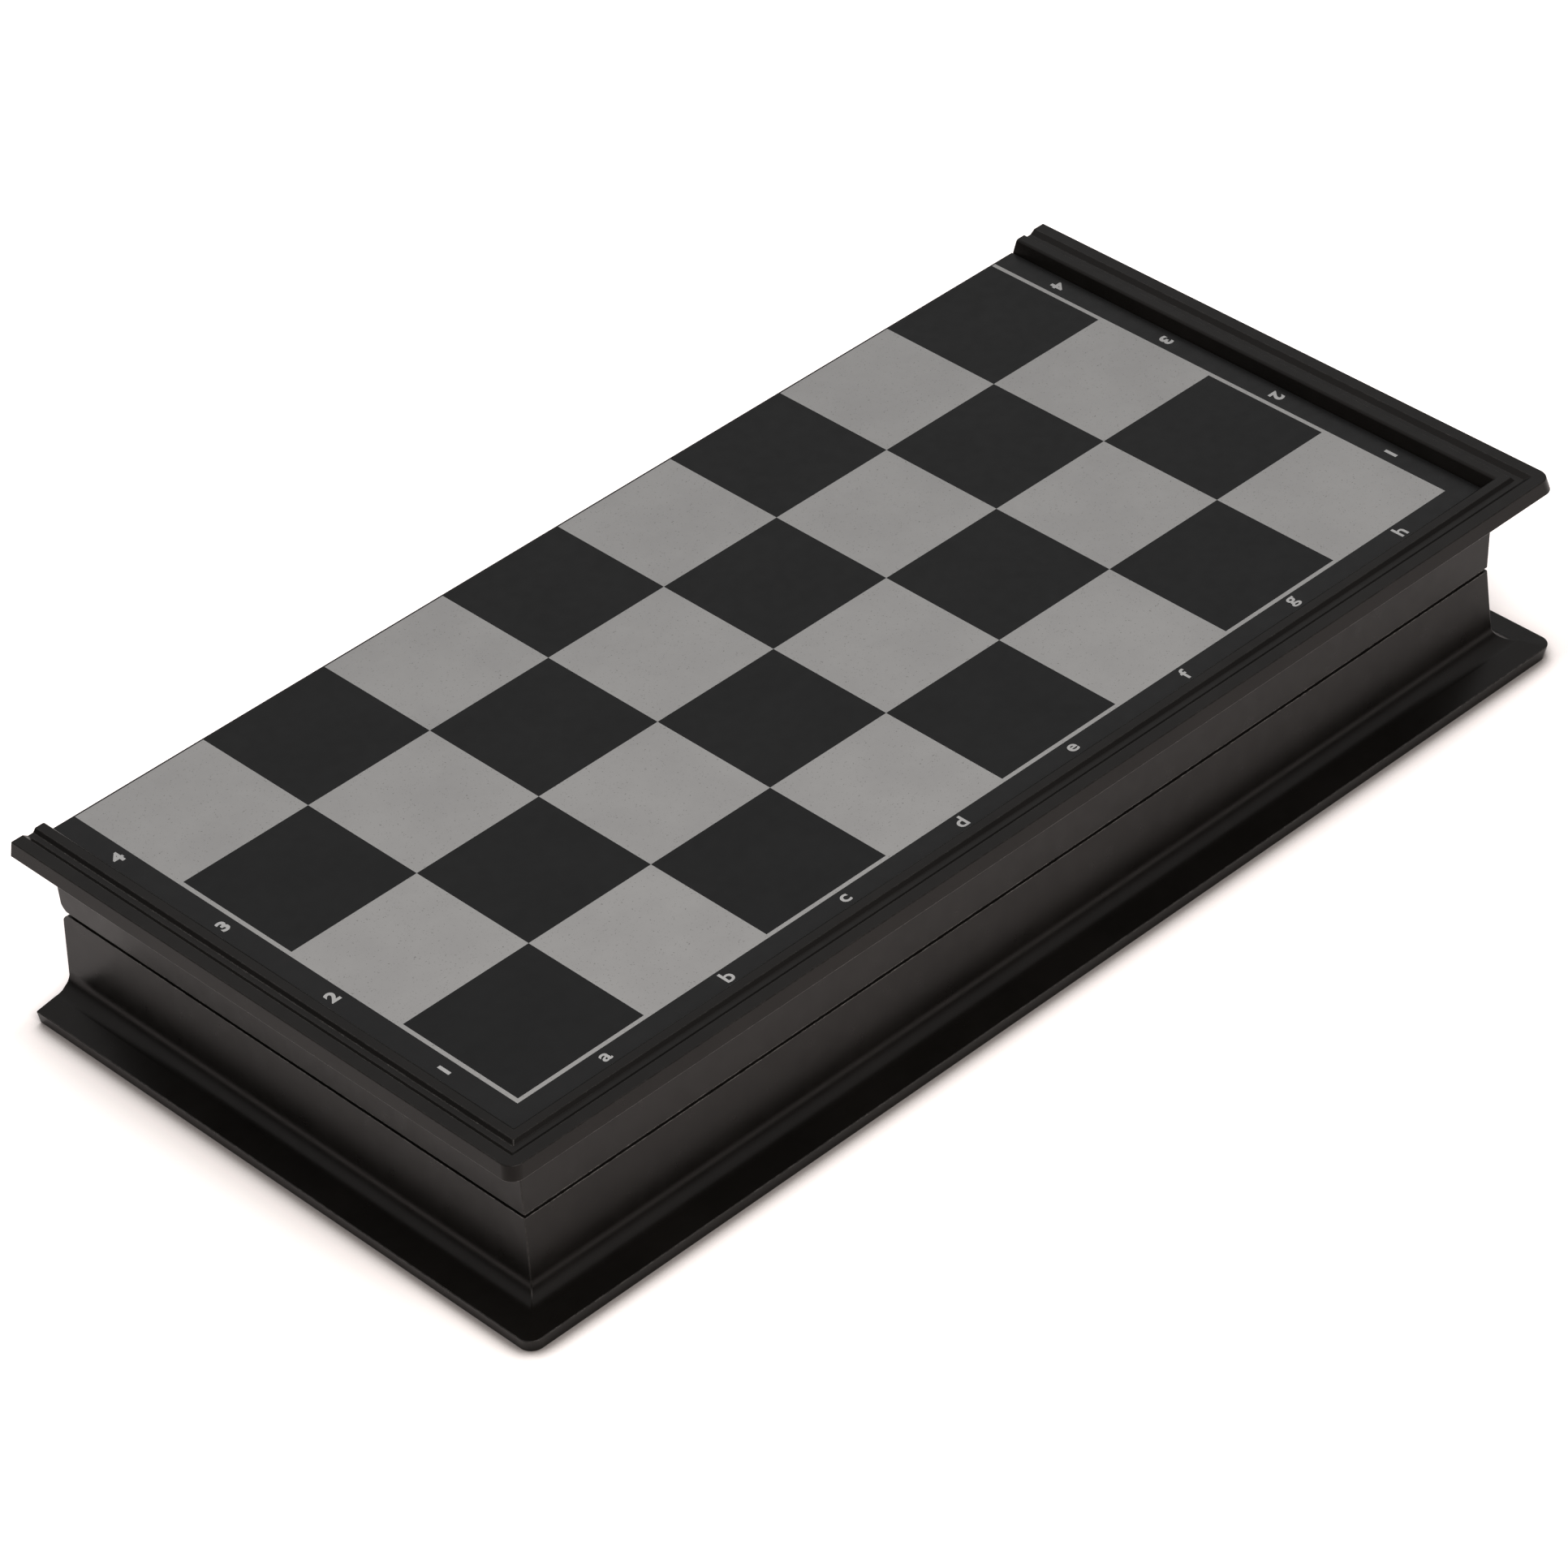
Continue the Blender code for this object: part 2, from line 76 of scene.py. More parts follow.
REVEAL_DEPTH = 0.28 * MM
PAST = 1 * MM
WELL_CORNER = 1.5 * MM
WELL_FLOOR_FILLET = 0.8 * MM
MOUTH_ROUND = 0.25 * MM
LEAD_IN = 0.2 * MM
SLOT_CORNER = 0.5 * MM
EAR_WIDTH = 5.5 * MM
EAR_BACK = 1.4 * MM
LINK_ROOM = 0.4 * MM
BOSS_WALL = 1.5 * MM
STEEL_BORDER = 5 * MM
STEEL_HINGE_MARGIN = 1.5 * MM
STEEL_CORNER = 2 * MM

# Print
FILES = 8
RANKS = 4
BORDER_LINE = 1.08 * MM
HINGE_MARGIN = 0.42 * MM
DIGIT_OUT = 4.05 * MM
LETTER_OUT = 3.75 * MM
INK = 0.012 * MM

# Worked out from the frame
film_low, film_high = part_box("upper_board_film")
case_low, case_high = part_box("upper_case")
lower_low, lower_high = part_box("lower_case")
link_low, link_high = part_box("hinge_link_left")
pin_low, pin_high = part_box("upper_hinge_pin_left")
magnet_low, magnet_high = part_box("closing_magnet_left")
insert_low, insert_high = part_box("upper_foam_insert")
steel_low, steel_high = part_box("upper_steel_sheet")
PARTING_Z = (case_low.z + lower_high.z) / 2
HINGE_Y = case_high.y
RIM_DEPTH = case_high.z - PARTING_Z
PANEL_DEPTH = film_high.z - PARTING_Z
FILM_THICKNESS = film_high.z - film_low.z
FILM_SEAT_DEPTH = film_low.z - PARTING_Z - CLEARANCE
STEEL_POCKET_DEPTH = steel_low.z - PARTING_Z - CLEARANCE
WELL_DEPTH = STEEL_POCKET_DEPTH - FLOOR
INSERT_TOP = insert_low.z - PARTING_Z
GRID_HALF = film_high.x + CLEARANCE - PANEL_BORDER
SQUARE = 2 * GRID_HALF / FILES
GRID_FRONT = film_low.y - CLEARANCE + PANEL_BORDER
REACH = case_high.x - GRID_HALF
RIDGE_OUTER = PANEL_BORDER + RIDGE_SLOPE + RIDGE_WIDTH
GROOVE_START = RIDGE_OUTER + GROOVE_INNER_SLOPE
GROOVE_END = GROOVE_START + GROOVE_WIDTH
LAND_START = GROOVE_END + GROOVE_OUTER_SLOPE
WELL_OFFSET = WALL_OFFSET - WALL
PIVOT_Y = (pin_low.y + pin_high.y) / 2
PIVOT_DEPTH = (pin_low.z + pin_high.z) / 2 - PARTING_Z
PIN_RADIUS = (pin_high.z - pin_low.z) / 2
PIN_HALF = (pin_high.x - pin_low.x) / 2
BORE_RADIUS = PIN_RADIUS + CLEARANCE
HINGE_X = (link_low.x + link_high.x) / 2
LINK_HALF = (link_high.x - link_low.x) / 2
LINK_RADIUS = (link_high.y - link_low.y) / 2
SLOT_REACH = LINK_RADIUS + LINK_ROOM
SLOT_HALF = LINK_HALF + CLEARANCE
BLOCK_HALF = SLOT_HALF + EAR_WIDTH
BLOCK_FACE_Y = PIVOT_Y - SLOT_REACH - EAR_BACK
MAGNET_X = (magnet_low.x + magnet_high.x) / 2
MAGNET_Y = (magnet_low.y + magnet_high.y) / 2
MAGNET_RADIUS = (magnet_high.x - magnet_low.x) / 2
MAGNET_THICKNESS = magnet_high.z - magnet_low.z
MAGNET_HOLE = MAGNET_RADIUS + CLEARANCE
BOSS_HALF = MAGNET_HOLE + BOSS_WALL
BOSS_FACE_Y = MAGNET_Y + BOSS_HALF

BODIES = {"lower": "base", "upper": "lid"}


# ---------------------------------------------------------------- paths and meshes


def arc_corner(before, corner, after, radius, steps):
    """Points of the arc that rounds a corner, or the corner itself where it has no radius."""
    to_before = before - corner
    to_after = after - corner
    half = to_before.angle(to_after) / 2
    turn = math.pi - 2 * half
    if radius <= 0 or turn < 0.02:
        return [corner]
    reach = min(radius / math.tan(half), 0.45 * to_before.length, 0.45 * to_after.length)
    radius = reach * math.tan(half)
    to_before.normalize()
    to_after.normalize()
    centre = corner + (to_before + to_after).normalized() * radius / math.sin(half)
    start = corner + to_before * reach - centre
    end = corner + to_after * reach - centre
    points = []
    for step in range(steps + 1):
        share = step / steps
        part = start * math.sin((1 - share) * turn) + end * math.sin(share * turn)
        points.append(centre + part / math.sin(turn))
    return points


def filleted(corners, steps=5):
    """An open path of (a, b, radius, tag) with its corners rounded, as (a, b, tag)."""
    points = []
    for index, (a, b, radius, tag) in enumerate(corners):
        corner = Vector((a, b))
        if index in (0, len(corners) - 1):
            points.append((a, b, tag))
            continue
        before = Vector(corners[index - 1][:2])
        after = Vector(corners[index + 1][:2])
        points += [(*p, tag) for p in arc_corner(before, corner, after, radius, steps)]
    return points


def rounded(outline, radius, steps=5):
    """A closed outline of (a, b) with every corner rounded."""
    points = []
    count = len(outline)
    for index, corner in enumerate(outline):
        before = Vector(outline[index - 1])
        after = Vector(outline[(index + 1) % count])
        points += [tuple(p) for p in arc_corner(before, Vector(corner), after, radius, steps)]
    return points


def rectangle(left, right, front, back):
    return [(left, front), (right, front), (right, back), (left, back)]


def circle(centre, radius, sides):
    angles = [2 * math.pi * index / sides for index in range(sides)]
    return [(centre[0] + radius * math.cos(a), centre[1] + radius * math.sin(a)) for a in angles]


def mesh_of(name, shape):
    """A mesh from a bmesh, welded and with its faces pointing out."""
    bmesh.ops.remove_doubles(shape, verts=shape.verts, dist=1e-7)
    bmesh.ops.recalc_face_normals(shape, faces=shape.faces)
    mesh = bpy.data.meshes.new(name)
    shape.to_mesh(mesh)
    shape.free()
    return mesh


def loft(name, rows, closed=True):
    """A solid through rows of points (x, y, z), each row a closed ring, with both ends filled."""
    shape = bmesh.new()
    rings = [[shape.verts.new(point) for point in row] for row in rows]
    for ring, following in zip(rings, rings[1:]):
        for index in range(len(ring) if closed else len(ring) - 1):
            after = (index + 1) % len(ring)
            shape.faces.new((ring[index], ring[after], following[after], following[index]))
    shape.faces.new(rings[0])
    shape.faces.new(rings[-1])
    if not closed:
        shape.faces.new([ring[0] for ring in rings] + [ring[-1] for ring in reversed(rings)])
    bmesh.ops.triangulate(shape, faces=[face for face in shape.faces if len(face.verts) > 4])
    return mesh_of(name, shape)


def layered(name, outline_at, levels):
    """A solid with the outline that outline_at(gap) gives at each (gap, level)."""
    return loft(name, [[(a, b, level) for a, b in outline_at(gap)] for gap, level in levels])


def along_x(name, outline_at, levels):
    """The same, for outlines in y and depth that follow each other along x."""
    return loft(name, [[(level, a, b) for a, b in outline_at(gap)] for gap, level in levels])


def grown(outline, gap):
    """A convex outline, anticlockwise, with its edges moved out by gap."""
    count = len(outline)
    points = []
    for index, corner in enumerate(outline):
        here = Vector(corner)
        first = (here - Vector(outline[index - 1])).normalized()
        second = (Vector(outline[(index + 1) % count]) - here).normalized()
        normal_sum = Vector((first.y + second.y, -first.x - second.x))
        points.append(tuple(here + normal_sum * gap / (1 + first.dot(second))))
    return points


def merged(name, meshes):
    shape = bmesh.new()
    for mesh in meshes:
        shape.from_mesh(mesh)
    return mesh_of(name, shape)


def evaluated(mesh, *modifiers):
    """The mesh after modifiers given as (type, settings)."""
    body = bpy.data.objects.new("work", mesh)
    bpy.context.scene.collection.objects.link(body)
    for kind, settings in modifiers:
        modifier = body.modifiers.new(kind.title(), kind)
        for key, value in settings.items():
            setattr(modifier, key, value)
    graph = bpy.context.evaluated_depsgraph_get()
    result = bpy.data.meshes.new_from_object(body.evaluated_get(graph))
    bpy.data.objects.remove(body)
    return result


def cut(base, other):
    """The first mesh less the second."""
    tool = bpy.data.objects.new("tool", other)
    bpy.context.scene.collection.objects.link(tool)
    settings = {"operation": "DIFFERENCE", "object": tool, "solver": "MANIFOLD"}
    result = evaluated(base, ("BOOLEAN", settings))
    bpy.data.objects.remove(tool)
    return result


def smooth(mesh, degrees=32, weighted=True):
    """Smooth shading with sharp edges kept, and flat faces left flat beside their fillets."""
    mesh.shade_smooth()
    mesh.set_sharp_from_angle(angle=math.radians(degrees))
    if not weighted:
        return mesh
    return evaluated(mesh, ("WEIGHTED_NORMAL", {"keep_sharp": True, "weight": 60}))


def place_half(mesh, side):
    """Sets a mesh from the half's own space into the frame."""
    mesh = mesh.copy()
    mesh.transform(Matrix.Translation((0, 0, PARTING_Z)))
    if side == "lower":
        flip = Matrix.Scale(-1, 4, (0, 0, 1))
        back = Matrix.Translation((0, 0, PARTING_Z))
        mesh.transform(back @ flip @ back.inverted())
        mesh.flip_normals()
    return mesh


def piece(name, mesh, finishes, body, replaced, place=None):
    """An object that rides on a body and stands for CAD nodes."""
    indices = [min(face.material_index, len(finishes) - 1) for face in mesh.polygons]
    mesh.materials.clear()
    for finish in finishes:
        mesh.materials.append(finish)
    mesh.polygons.foreach_set("material_index", indices)
    thing = bpy.data.objects.new(name, mesh)
    bpy.context.scene.collection.objects.link(thing)
    if place:
        thing.matrix_world = place
    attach(thing, body)
    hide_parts(*replaced)


# ---------------------------------------------------------------- shells


def shell_profile():
    """(offset from the squares, depth, corner radius in plan), parting edge to film seat."""
    flange_edge = PANEL_DEPTH - FLANGE_DROP
    underside = RIM_DEPTH - FLANGE_THICKNESS
    cove_middle = WALL_OFFSET + WALL_DRAFT + COVE_RADIUS
    corners = [
        (WALL_OFFSET - REVEAL_WIDTH - 3 * MOUTH_ROUND, EDGE_DEPTH, 0, SHARP_CORNER),
        (WALL_OFFSET - REVEAL_WIDTH, EDGE_DEPTH, 0.05 * MM, SHARP_CORNER),
        (WALL_OFFSET - REVEAL_WIDTH, EDGE_DEPTH + REVEAL_DEPTH, 0.05 * MM, SHARP_CORNER),
        (WALL_OFFSET, EDGE_DEPTH + REVEAL_DEPTH, 0.1 * MM, SHARP_CORNER),
    ]
    for step in range(COVE_STEPS + 1):
        angle = math.pi / 2 * step / COVE_STEPS
        across = cove_middle - COVE_RADIUS * math.cos(angle)
        deep = underside - COVE_RADIUS + COVE_RADIUS * math.sin(angle)
        corners.append((across, deep, 0, SHARP_CORNER))
    corners += [
        (REACH, flange_edge, 0.22 * MM, FLANGE_CORNER),
        (REACH - FLANGE_LEAN, RIM_DEPTH, 0.3 * MM, FLANGE_CORNER),
        (LAND_START, RIM_DEPTH, 0.2 * MM, SHARP_CORNER),
        (GROOVE_END, RIM_DEPTH - GROOVE_DEPTH, 0.2 * MM, SHARP_CORNER),
        (GROOVE_START, RIM_DEPTH - GROOVE_DEPTH, 0.15 * MM, SHARP_CORNER),
        (RIDGE_OUTER, RIM_DEPTH, 0.25 * MM, SHARP_CORNER),
        (PANEL_BORDER + RIDGE_SLOPE, RIM_DEPTH, 0.9 * MM, SHARP_CORNER),
        (PANEL_BORDER, PANEL_DEPTH, 0, SHARP_CORNER),
        (PANEL_BORDER, FILM_SEAT_DEPTH, 0, SHARP_CORNER),
    ]
    return filleted(corners, steps=6)


def inset_profile(points, gap):
    """The profile moved into the material by gap, but for its two ends."""
    moved = [points[0]]
    for before, here, after in zip(points, points[1:], points[2:]):
        along = Vector(after[:2]) - Vector(before[:2])
        inward = Vector((-along.y, along.x)).normalized() * gap
        moved.append((here[0] + inward.x, here[1] + inward.y, here[2]))
    return moved + [points[-1]]


def plan_path(offset, radius):
    """(x, y) at this offset from the squares, from the left end round the front to the right end."""
    side = GRID_HALF + offset
    front = GRID_FRONT - offset
    path = [(-side, HINGE_Y - END_CHAMFER)]
    for centre_x, start in ((-side + radius, math.pi), (side - radius, 1.5 * math.pi)):
        for step in range(CORNER_STEPS + 1):
            angle = start + math.pi / 2 * step / CORNER_STEPS
            point = (centre_x + radius * math.cos(angle), front + radius + radius * math.sin(angle))
            path.append(point)
    path.append((side, HINGE_Y - END_CHAMFER))
    return path


def shell_block():
    profile = shell_profile()
    rows = []
    eased = inset_profile(profile, END_CHAMFER)
    for (offset, depth, radius), (end_offset, end_depth, _) in zip(profile, eased):
        end = GRID_HALF + end_offset
        row = [(-end, HINGE_Y, end_depth)]
        row += [(x, y, depth) for x, y in plan_path(offset, radius)]
        row.append((end, HINGE_Y, end_depth))
        rows.append(row)
    return loft("block", rows, closed=False)


def notch(start, end, edge, face):
    return [(start, edge), (start, face), (end, face), (end, edge)]


def well_outline(gap):
    """Plan of the well, drawn in by gap, with the magnet bosses and hinge blocks standing into it."""
    side = GRID_HALF + WELL_OFFSET - gap
    front = GRID_FRONT - WELL_OFFSET + gap
    back = HINGE_Y - HINGE_WALL - gap
    outline = [(-side, front)]
    for x in (MAGNET_X, -MAGNET_X):
        outline += notch(x - BOSS_HALF - gap, x + BOSS_HALF + gap, front, BOSS_FACE_Y + gap)
    outline += [(side, front), (side, back)]
    for x in (-HINGE_X, HINGE_X):
        outline += notch(x + BLOCK_HALF + gap, x - BLOCK_HALF - gap, back, BLOCK_FACE_Y - gap)
    outline.append((-side, back))
    return rounded(outline, WELL_CORNER)


def quarter(radius, steps, start_level, direction):
    """(gap, level) round a quarter circle, from the wall to the face."""
    levels = []
    for step in range(steps + 1):
        angle = math.pi / 2 * step / steps
        levels.append((radius * (1 - math.cos(angle)), start_level + direction * radius * math.sin(angle)))
    return levels


def well_cutter():
    mouth = [(-MOUTH_ROUND, EDGE_DEPTH - PAST)]
    mouth += [(-gap, level) for gap, level in reversed(quarter(MOUTH_ROUND, 4, EDGE_DEPTH + MOUTH_ROUND, -1))]
    floor = quarter(WELL_FLOOR_FILLET, 5, WELL_DEPTH - WELL_FLOOR_FILLET, 1)
    return layered("well", well_outline, mouth + floor)


def hinge_edge_cutter():
    """Rounds the hinge-side edge about the pivot."""
    inset = HINGE_Y - PIVOT_Y
    outline = [(PIVOT_Y, EDGE_DEPTH - PAST), (HINGE_Y + PAST, EDGE_DEPTH - PAST)]
    outline += [(HINGE_Y + PAST, PIVOT_DEPTH), (HINGE_Y, PIVOT_DEPTH)]
    for step in range(1, 25):
        angle = math.pi / 2 * step / 24
        outline.append((PIVOT_Y + inset * math.cos(angle), PIVOT_DEPTH - inset * math.sin(angle)))
    side = GRID_HALF + REACH + PAST
    return along_x("edge", lambda gap: outline, [(0, -side), (0, side)])


def slot_cutters():
    slots = []
    for x in (HINGE_X, -HINGE_X):
        plan = rectangle(x - SLOT_HALF, x + SLOT_HALF, PIVOT_Y - SLOT_REACH, HINGE_Y + PAST)
        levels = [(LEAD_IN, EDGE_DEPTH - PAST), (LEAD_IN, EDGE_DEPTH)]
        levels += [(0, EDGE_DEPTH + LEAD_IN), (0, PIVOT_DEPTH + SLOT_REACH)]
        slots.append(layered("slot", lambda gap, plan=plan: rounded(grown(plan, gap), SLOT_CORNER), levels))
    return merged("slots", slots)


def bore_cutters():
    bores = []
    for x in (HINGE_X, -HINGE_X):
        round_ = circle((PIVOT_Y, PIVOT_DEPTH), BORE_RADIUS, 32)
        reach = BLOCK_HALF + PAST
        bores.append(along_x("bore", lambda gap: round_, [(0, x - reach), (0, x + reach)]))
    return merged("bores", bores)


def magnet_cutters():
    holes = []
    bottom = EDGE_DEPTH + MAGNET_THICKNESS + CLEARANCE
    for x in (MAGNET_X, -MAGNET_X):
        levels = [(LEAD_IN, EDGE_DEPTH - PAST), (LEAD_IN, EDGE_DEPTH)]
        levels += [(0, EDGE_DEPTH + LEAD_IN), (0, bottom)]
        holes.append(layered("hole", lambda gap, x=x: circle((x, MAGNET_Y), MAGNET_HOLE + gap, 48), levels))
    return merged("holes", holes)


def steel_pocket_cutter():
    side = GRID_HALF + STEEL_BORDER
    plan = rectangle(-side, side, GRID_FRONT - STEEL_BORDER, HINGE_Y - STEEL_HINGE_MARGIN)
    levels = [(0, STEEL_POCKET_DEPTH), (0, FILM_SEAT_DEPTH + PAST)]
    return layered("steel_pocket", lambda gap: rounded(plan, STEEL_CORNER), levels)


def shell_mesh():
    mesh = shell_block()
    cutters = (well_cutter(), steel_pocket_cutter(), hinge_edge_cutter(), slot_cutters())
    for cutter in (*cutters, bore_cutters(), magnet_cutters()):
        mesh = cut(mesh, cutter)
    return mesh


# ---------------------------------------------------------------- printed film


def film_cells(dark_corner):
    """The board's areas as (x, x, y, y, ink), with ink 0 margin, 1 dark, 2 silver."""
    end = HINGE_Y - HINGE_MARGIN
    side = GRID_HALF + BORDER_LINE
    xs = [-film_high.x, -side] + [(i - FILES / 2) * SQUARE for i in range(FILES + 1)] + [side, film_high.x]
    ys = [film_low.y, GRID_FRONT - BORDER_LINE] + [GRID_FRONT + i * SQUARE for i in range(RANKS)]
    ys += [end, HINGE_Y]
    cells = []
    for row, (front, back) in enumerate(zip(ys, ys[1:])):
        for column, (left, right) in enumerate(zip(xs, xs[1:])):
            ink = 2
            if row in (0, len(ys) - 2) or column in (0, len(xs) - 2):
                ink = 0
            elif row > 1 and 1 < column < len(xs) - 3:
                ink = 1 if (row + column) % 2 == dark_corner else 2
            cells.append((left, right, front, back, ink))
    return cells


def film_mesh(dark_corner):
    """A thin sheet whose face is divided where the print changes, with a rounded rim."""
    low = PANEL_DEPTH - FILM_THICKNESS
    shape = bmesh.new()
    for left, right, front, back, ink in film_cells(dark_corner):
        corners = [shape.verts.new((x, y, PANEL_DEPTH)) for x, y in rectangle(left, right, front, back)]
        shape.faces.new(corners).material_index = ink
    bmesh.ops.remove_doubles(shape, verts=shape.verts, dist=1e-7)
    border = [edge for edge in shape.edges if len(edge.link_faces) == 1]
    walls = bmesh.ops.extrude_edge_only(shape, edges=border)["geom"]
    bmesh.ops.translate(
        shape,
        verts=[v for v in walls if isinstance(v, bmesh.types.BMVert)],
        vec=(0, 0, low - PANEL_DEPTH),
    )
    bottom = [edge for edge in shape.edges if len(edge.link_faces) == 1]
    bmesh.ops.holes_fill(shape, edges=bottom, sides=0)
    for face in shape.faces:
        if face.normal.z < 0.5 and face.calc_center_median().z < PANEL_DEPTH - 1e-6:
            face.material_index = 0
    return mesh_of("film", shape)


def glyph(character, height, weight):
    """A character of the built-in face as a thin solid with its middle at the origin."""
    data = bpy.data.curves.new("glyph", "FONT")
    data.body = character
    data.size = height
    data.offset = weight
    data.extrude = INK
    data.resolution_u = 6
    text = bpy.data.objects.new("glyph", data)
    bpy.context.scene.collection.objects.link(text)
    bpy.context.view_layer.update()
    graph = bpy.context.evaluated_depsgraph_get()
    mesh = bpy.data.meshes.new_from_object(text.evaluated_get(graph))
    bpy.data.objects.remove(text)
    xs = [vertex.co.x for vertex in mesh.vertices]
    ys = [vertex.co.y for vertex in mesh.vertices]
    middle = Vector(((min(xs) + max(xs)) / 2, (min(ys) + max(ys)) / 2, 0))
    mesh.transform(Matrix.Translation(-middle))
    return mesh


DIGIT_SIZE = 4.5 * MM
LETTER_SIZE = 5.0 * MM
DIGIT_WEIGHT = 0.19 * MM
LETTER_WEIGHT = 0.10 * MM
WIDEN = 1.1
DIGIT_DRIFT = 0.25 * MM
LETTER_DRIFT = 0.72 * MM
LETTER_SHIFT = 0.32 * MM


def coordinates_mesh(side):
    """The ranks' digits at both ends and the files' letters along the rim.

    They are spaced a little closer than the squares, and the first letters sit off the middle of
    their files."""
    digits = "1234" if side == "upper" else "8765"
    reading = Matrix() if side == "upper" else Matrix.Scale(-1, 4, (0, 1, 0))
    widen = Matrix.Scale(WIDEN, 4, (1, 0, 0))
    half_turn = Matrix.Rotation(math.pi, 4, "Z") @ widen
    marks = []
    for rank, digit in enumerate(digits):
        y = GRID_FRONT + (rank + 0.5) * SQUARE + (1 - rank) * DIGIT_DRIFT
        for x, turn in ((-GRID_HALF - DIGIT_OUT, widen), (GRID_HALF + DIGIT_OUT, half_turn)):
            marks.append((digit, DIGIT_SIZE, DIGIT_WEIGHT, x, y, turn))
    letter_turn = widen if side == "upper" else half_turn
    for file, letter in enumerate("abcdefgh"):
        x = (file + 0.5 - FILES / 2) * SQUARE + LETTER_SHIFT + max(0, 4 - file) * LETTER_DRIFT
        marks.append((letter, LETTER_SIZE, LETTER_WEIGHT, x, GRID_FRONT - LETTER_OUT, letter_turn))
    shape = bmesh.new()
    for character, size, weight, x, y, turn in marks:
        mesh = glyph(character, size, weight)
        mesh.transform(Matrix.Translation((x, y, PANEL_DEPTH)) @ reading @ turn)
        shape.from_mesh(mesh)
    for face in shape.faces:
        face.material_index = 3
    return mesh_of("coordinates", shape)


def printed_film(side):
    # The lower half carries ranks 8 to 5, so its corner square by the letter a is light.
    dark_corner = 0 if side == "upper" else 1
    shape = bmesh.new()
    for mesh in (film_mesh(dark_corner), coordinates_mesh(side)):
        shape.from_mesh(mesh)
    mesh = bpy.data.meshes.new("film")
    shape.to_mesh(mesh)
    shape.free()
    return mesh


# ---------------------------------------------------------------- materials


def graph_of(name):
    made = bpy.data.materials.new(name)
    made.use_nodes = True
    return made, made.node_tree, made.node_tree.nodes["Principled BSDF"]


def node(tree, kind, settings=None, **inputs):
    """A node with its settings, and its inputs by name: a number, a colour or another node's output."""
    made = tree.nodes.new("ShaderNode" + kind)
    for key, value in (settings or {}).items():
        setattr(made, key, value)
    for key, value in inputs.items():
        socket = made.inputs[key.replace("_", " ")]
        if isinstance(value, bpy.types.NodeSocket):
            tree.links.new(value, socket)
        else:
            socket.default_value = value
    return made


def noise(tree, where, per_metre, detail=3.0, roughness=0.55):
    made = node(tree, "TexNoise", Vector=where, Scale=per_metre, Detail=detail, Roughness=roughness)
    return made.outputs["Fac"]


def ramp(tree, value, low, high, to_low=0.0, to_high=1.0):
    made = node(tree, "MapRange", {"interpolation_type": "SMOOTHSTEP"}, Value=value)
    for key, number in zip(("From Min", "From Max", "To Min", "To Max"), (low, high, to_low, to_high)):
        made.inputs[key].default_value = number
    return made.outputs["Result"]


def mix(tree, share, first, second):
    """A mix of two colours, each a colour or an output."""
    made = node(tree, "Mix", {"data_type": "RGBA"})
    for socket, value in zip((made.inputs[0], made.inputs[6], made.inputs[7]), (share, first, second)):
        if isinstance(value, bpy.types.NodeSocket):
            tree.links.new(value, socket)
        elif isinstance(value, (int, float)):
            socket.default_value = value
        else:
            socket.default_value = (*value, 1)
    return made.outputs[2]


def vectors(tree, operation, first, second=(0, 0, 0)):
    """The node of an operation on two vectors, each constant or an output."""
    made = node(tree, "VectorMath", {"operation": operation})
    for socket, value in zip(made.inputs, (first, second)):
        if isinstance(value, bpy.types.NodeSocket):
            tree.links.new(value, socket)
        else:
            socket.default_value = value
    return made


def product(tree, first, second):
    made = node(tree, "Math", {"operation": "MULTIPLY"})
    tree.links.new(first, made.inputs[0])
    tree.links.new(second, made.inputs[1])
    return made.outputs[0]


def bump(tree, height, distance, strength=1.0, normal=None):
    made = node(tree, "Bump", Height=height, Distance=distance, Strength=strength)
    if normal:
        tree.links.new(normal, made.inputs["Normal"])
    return made.outputs["Normal"]


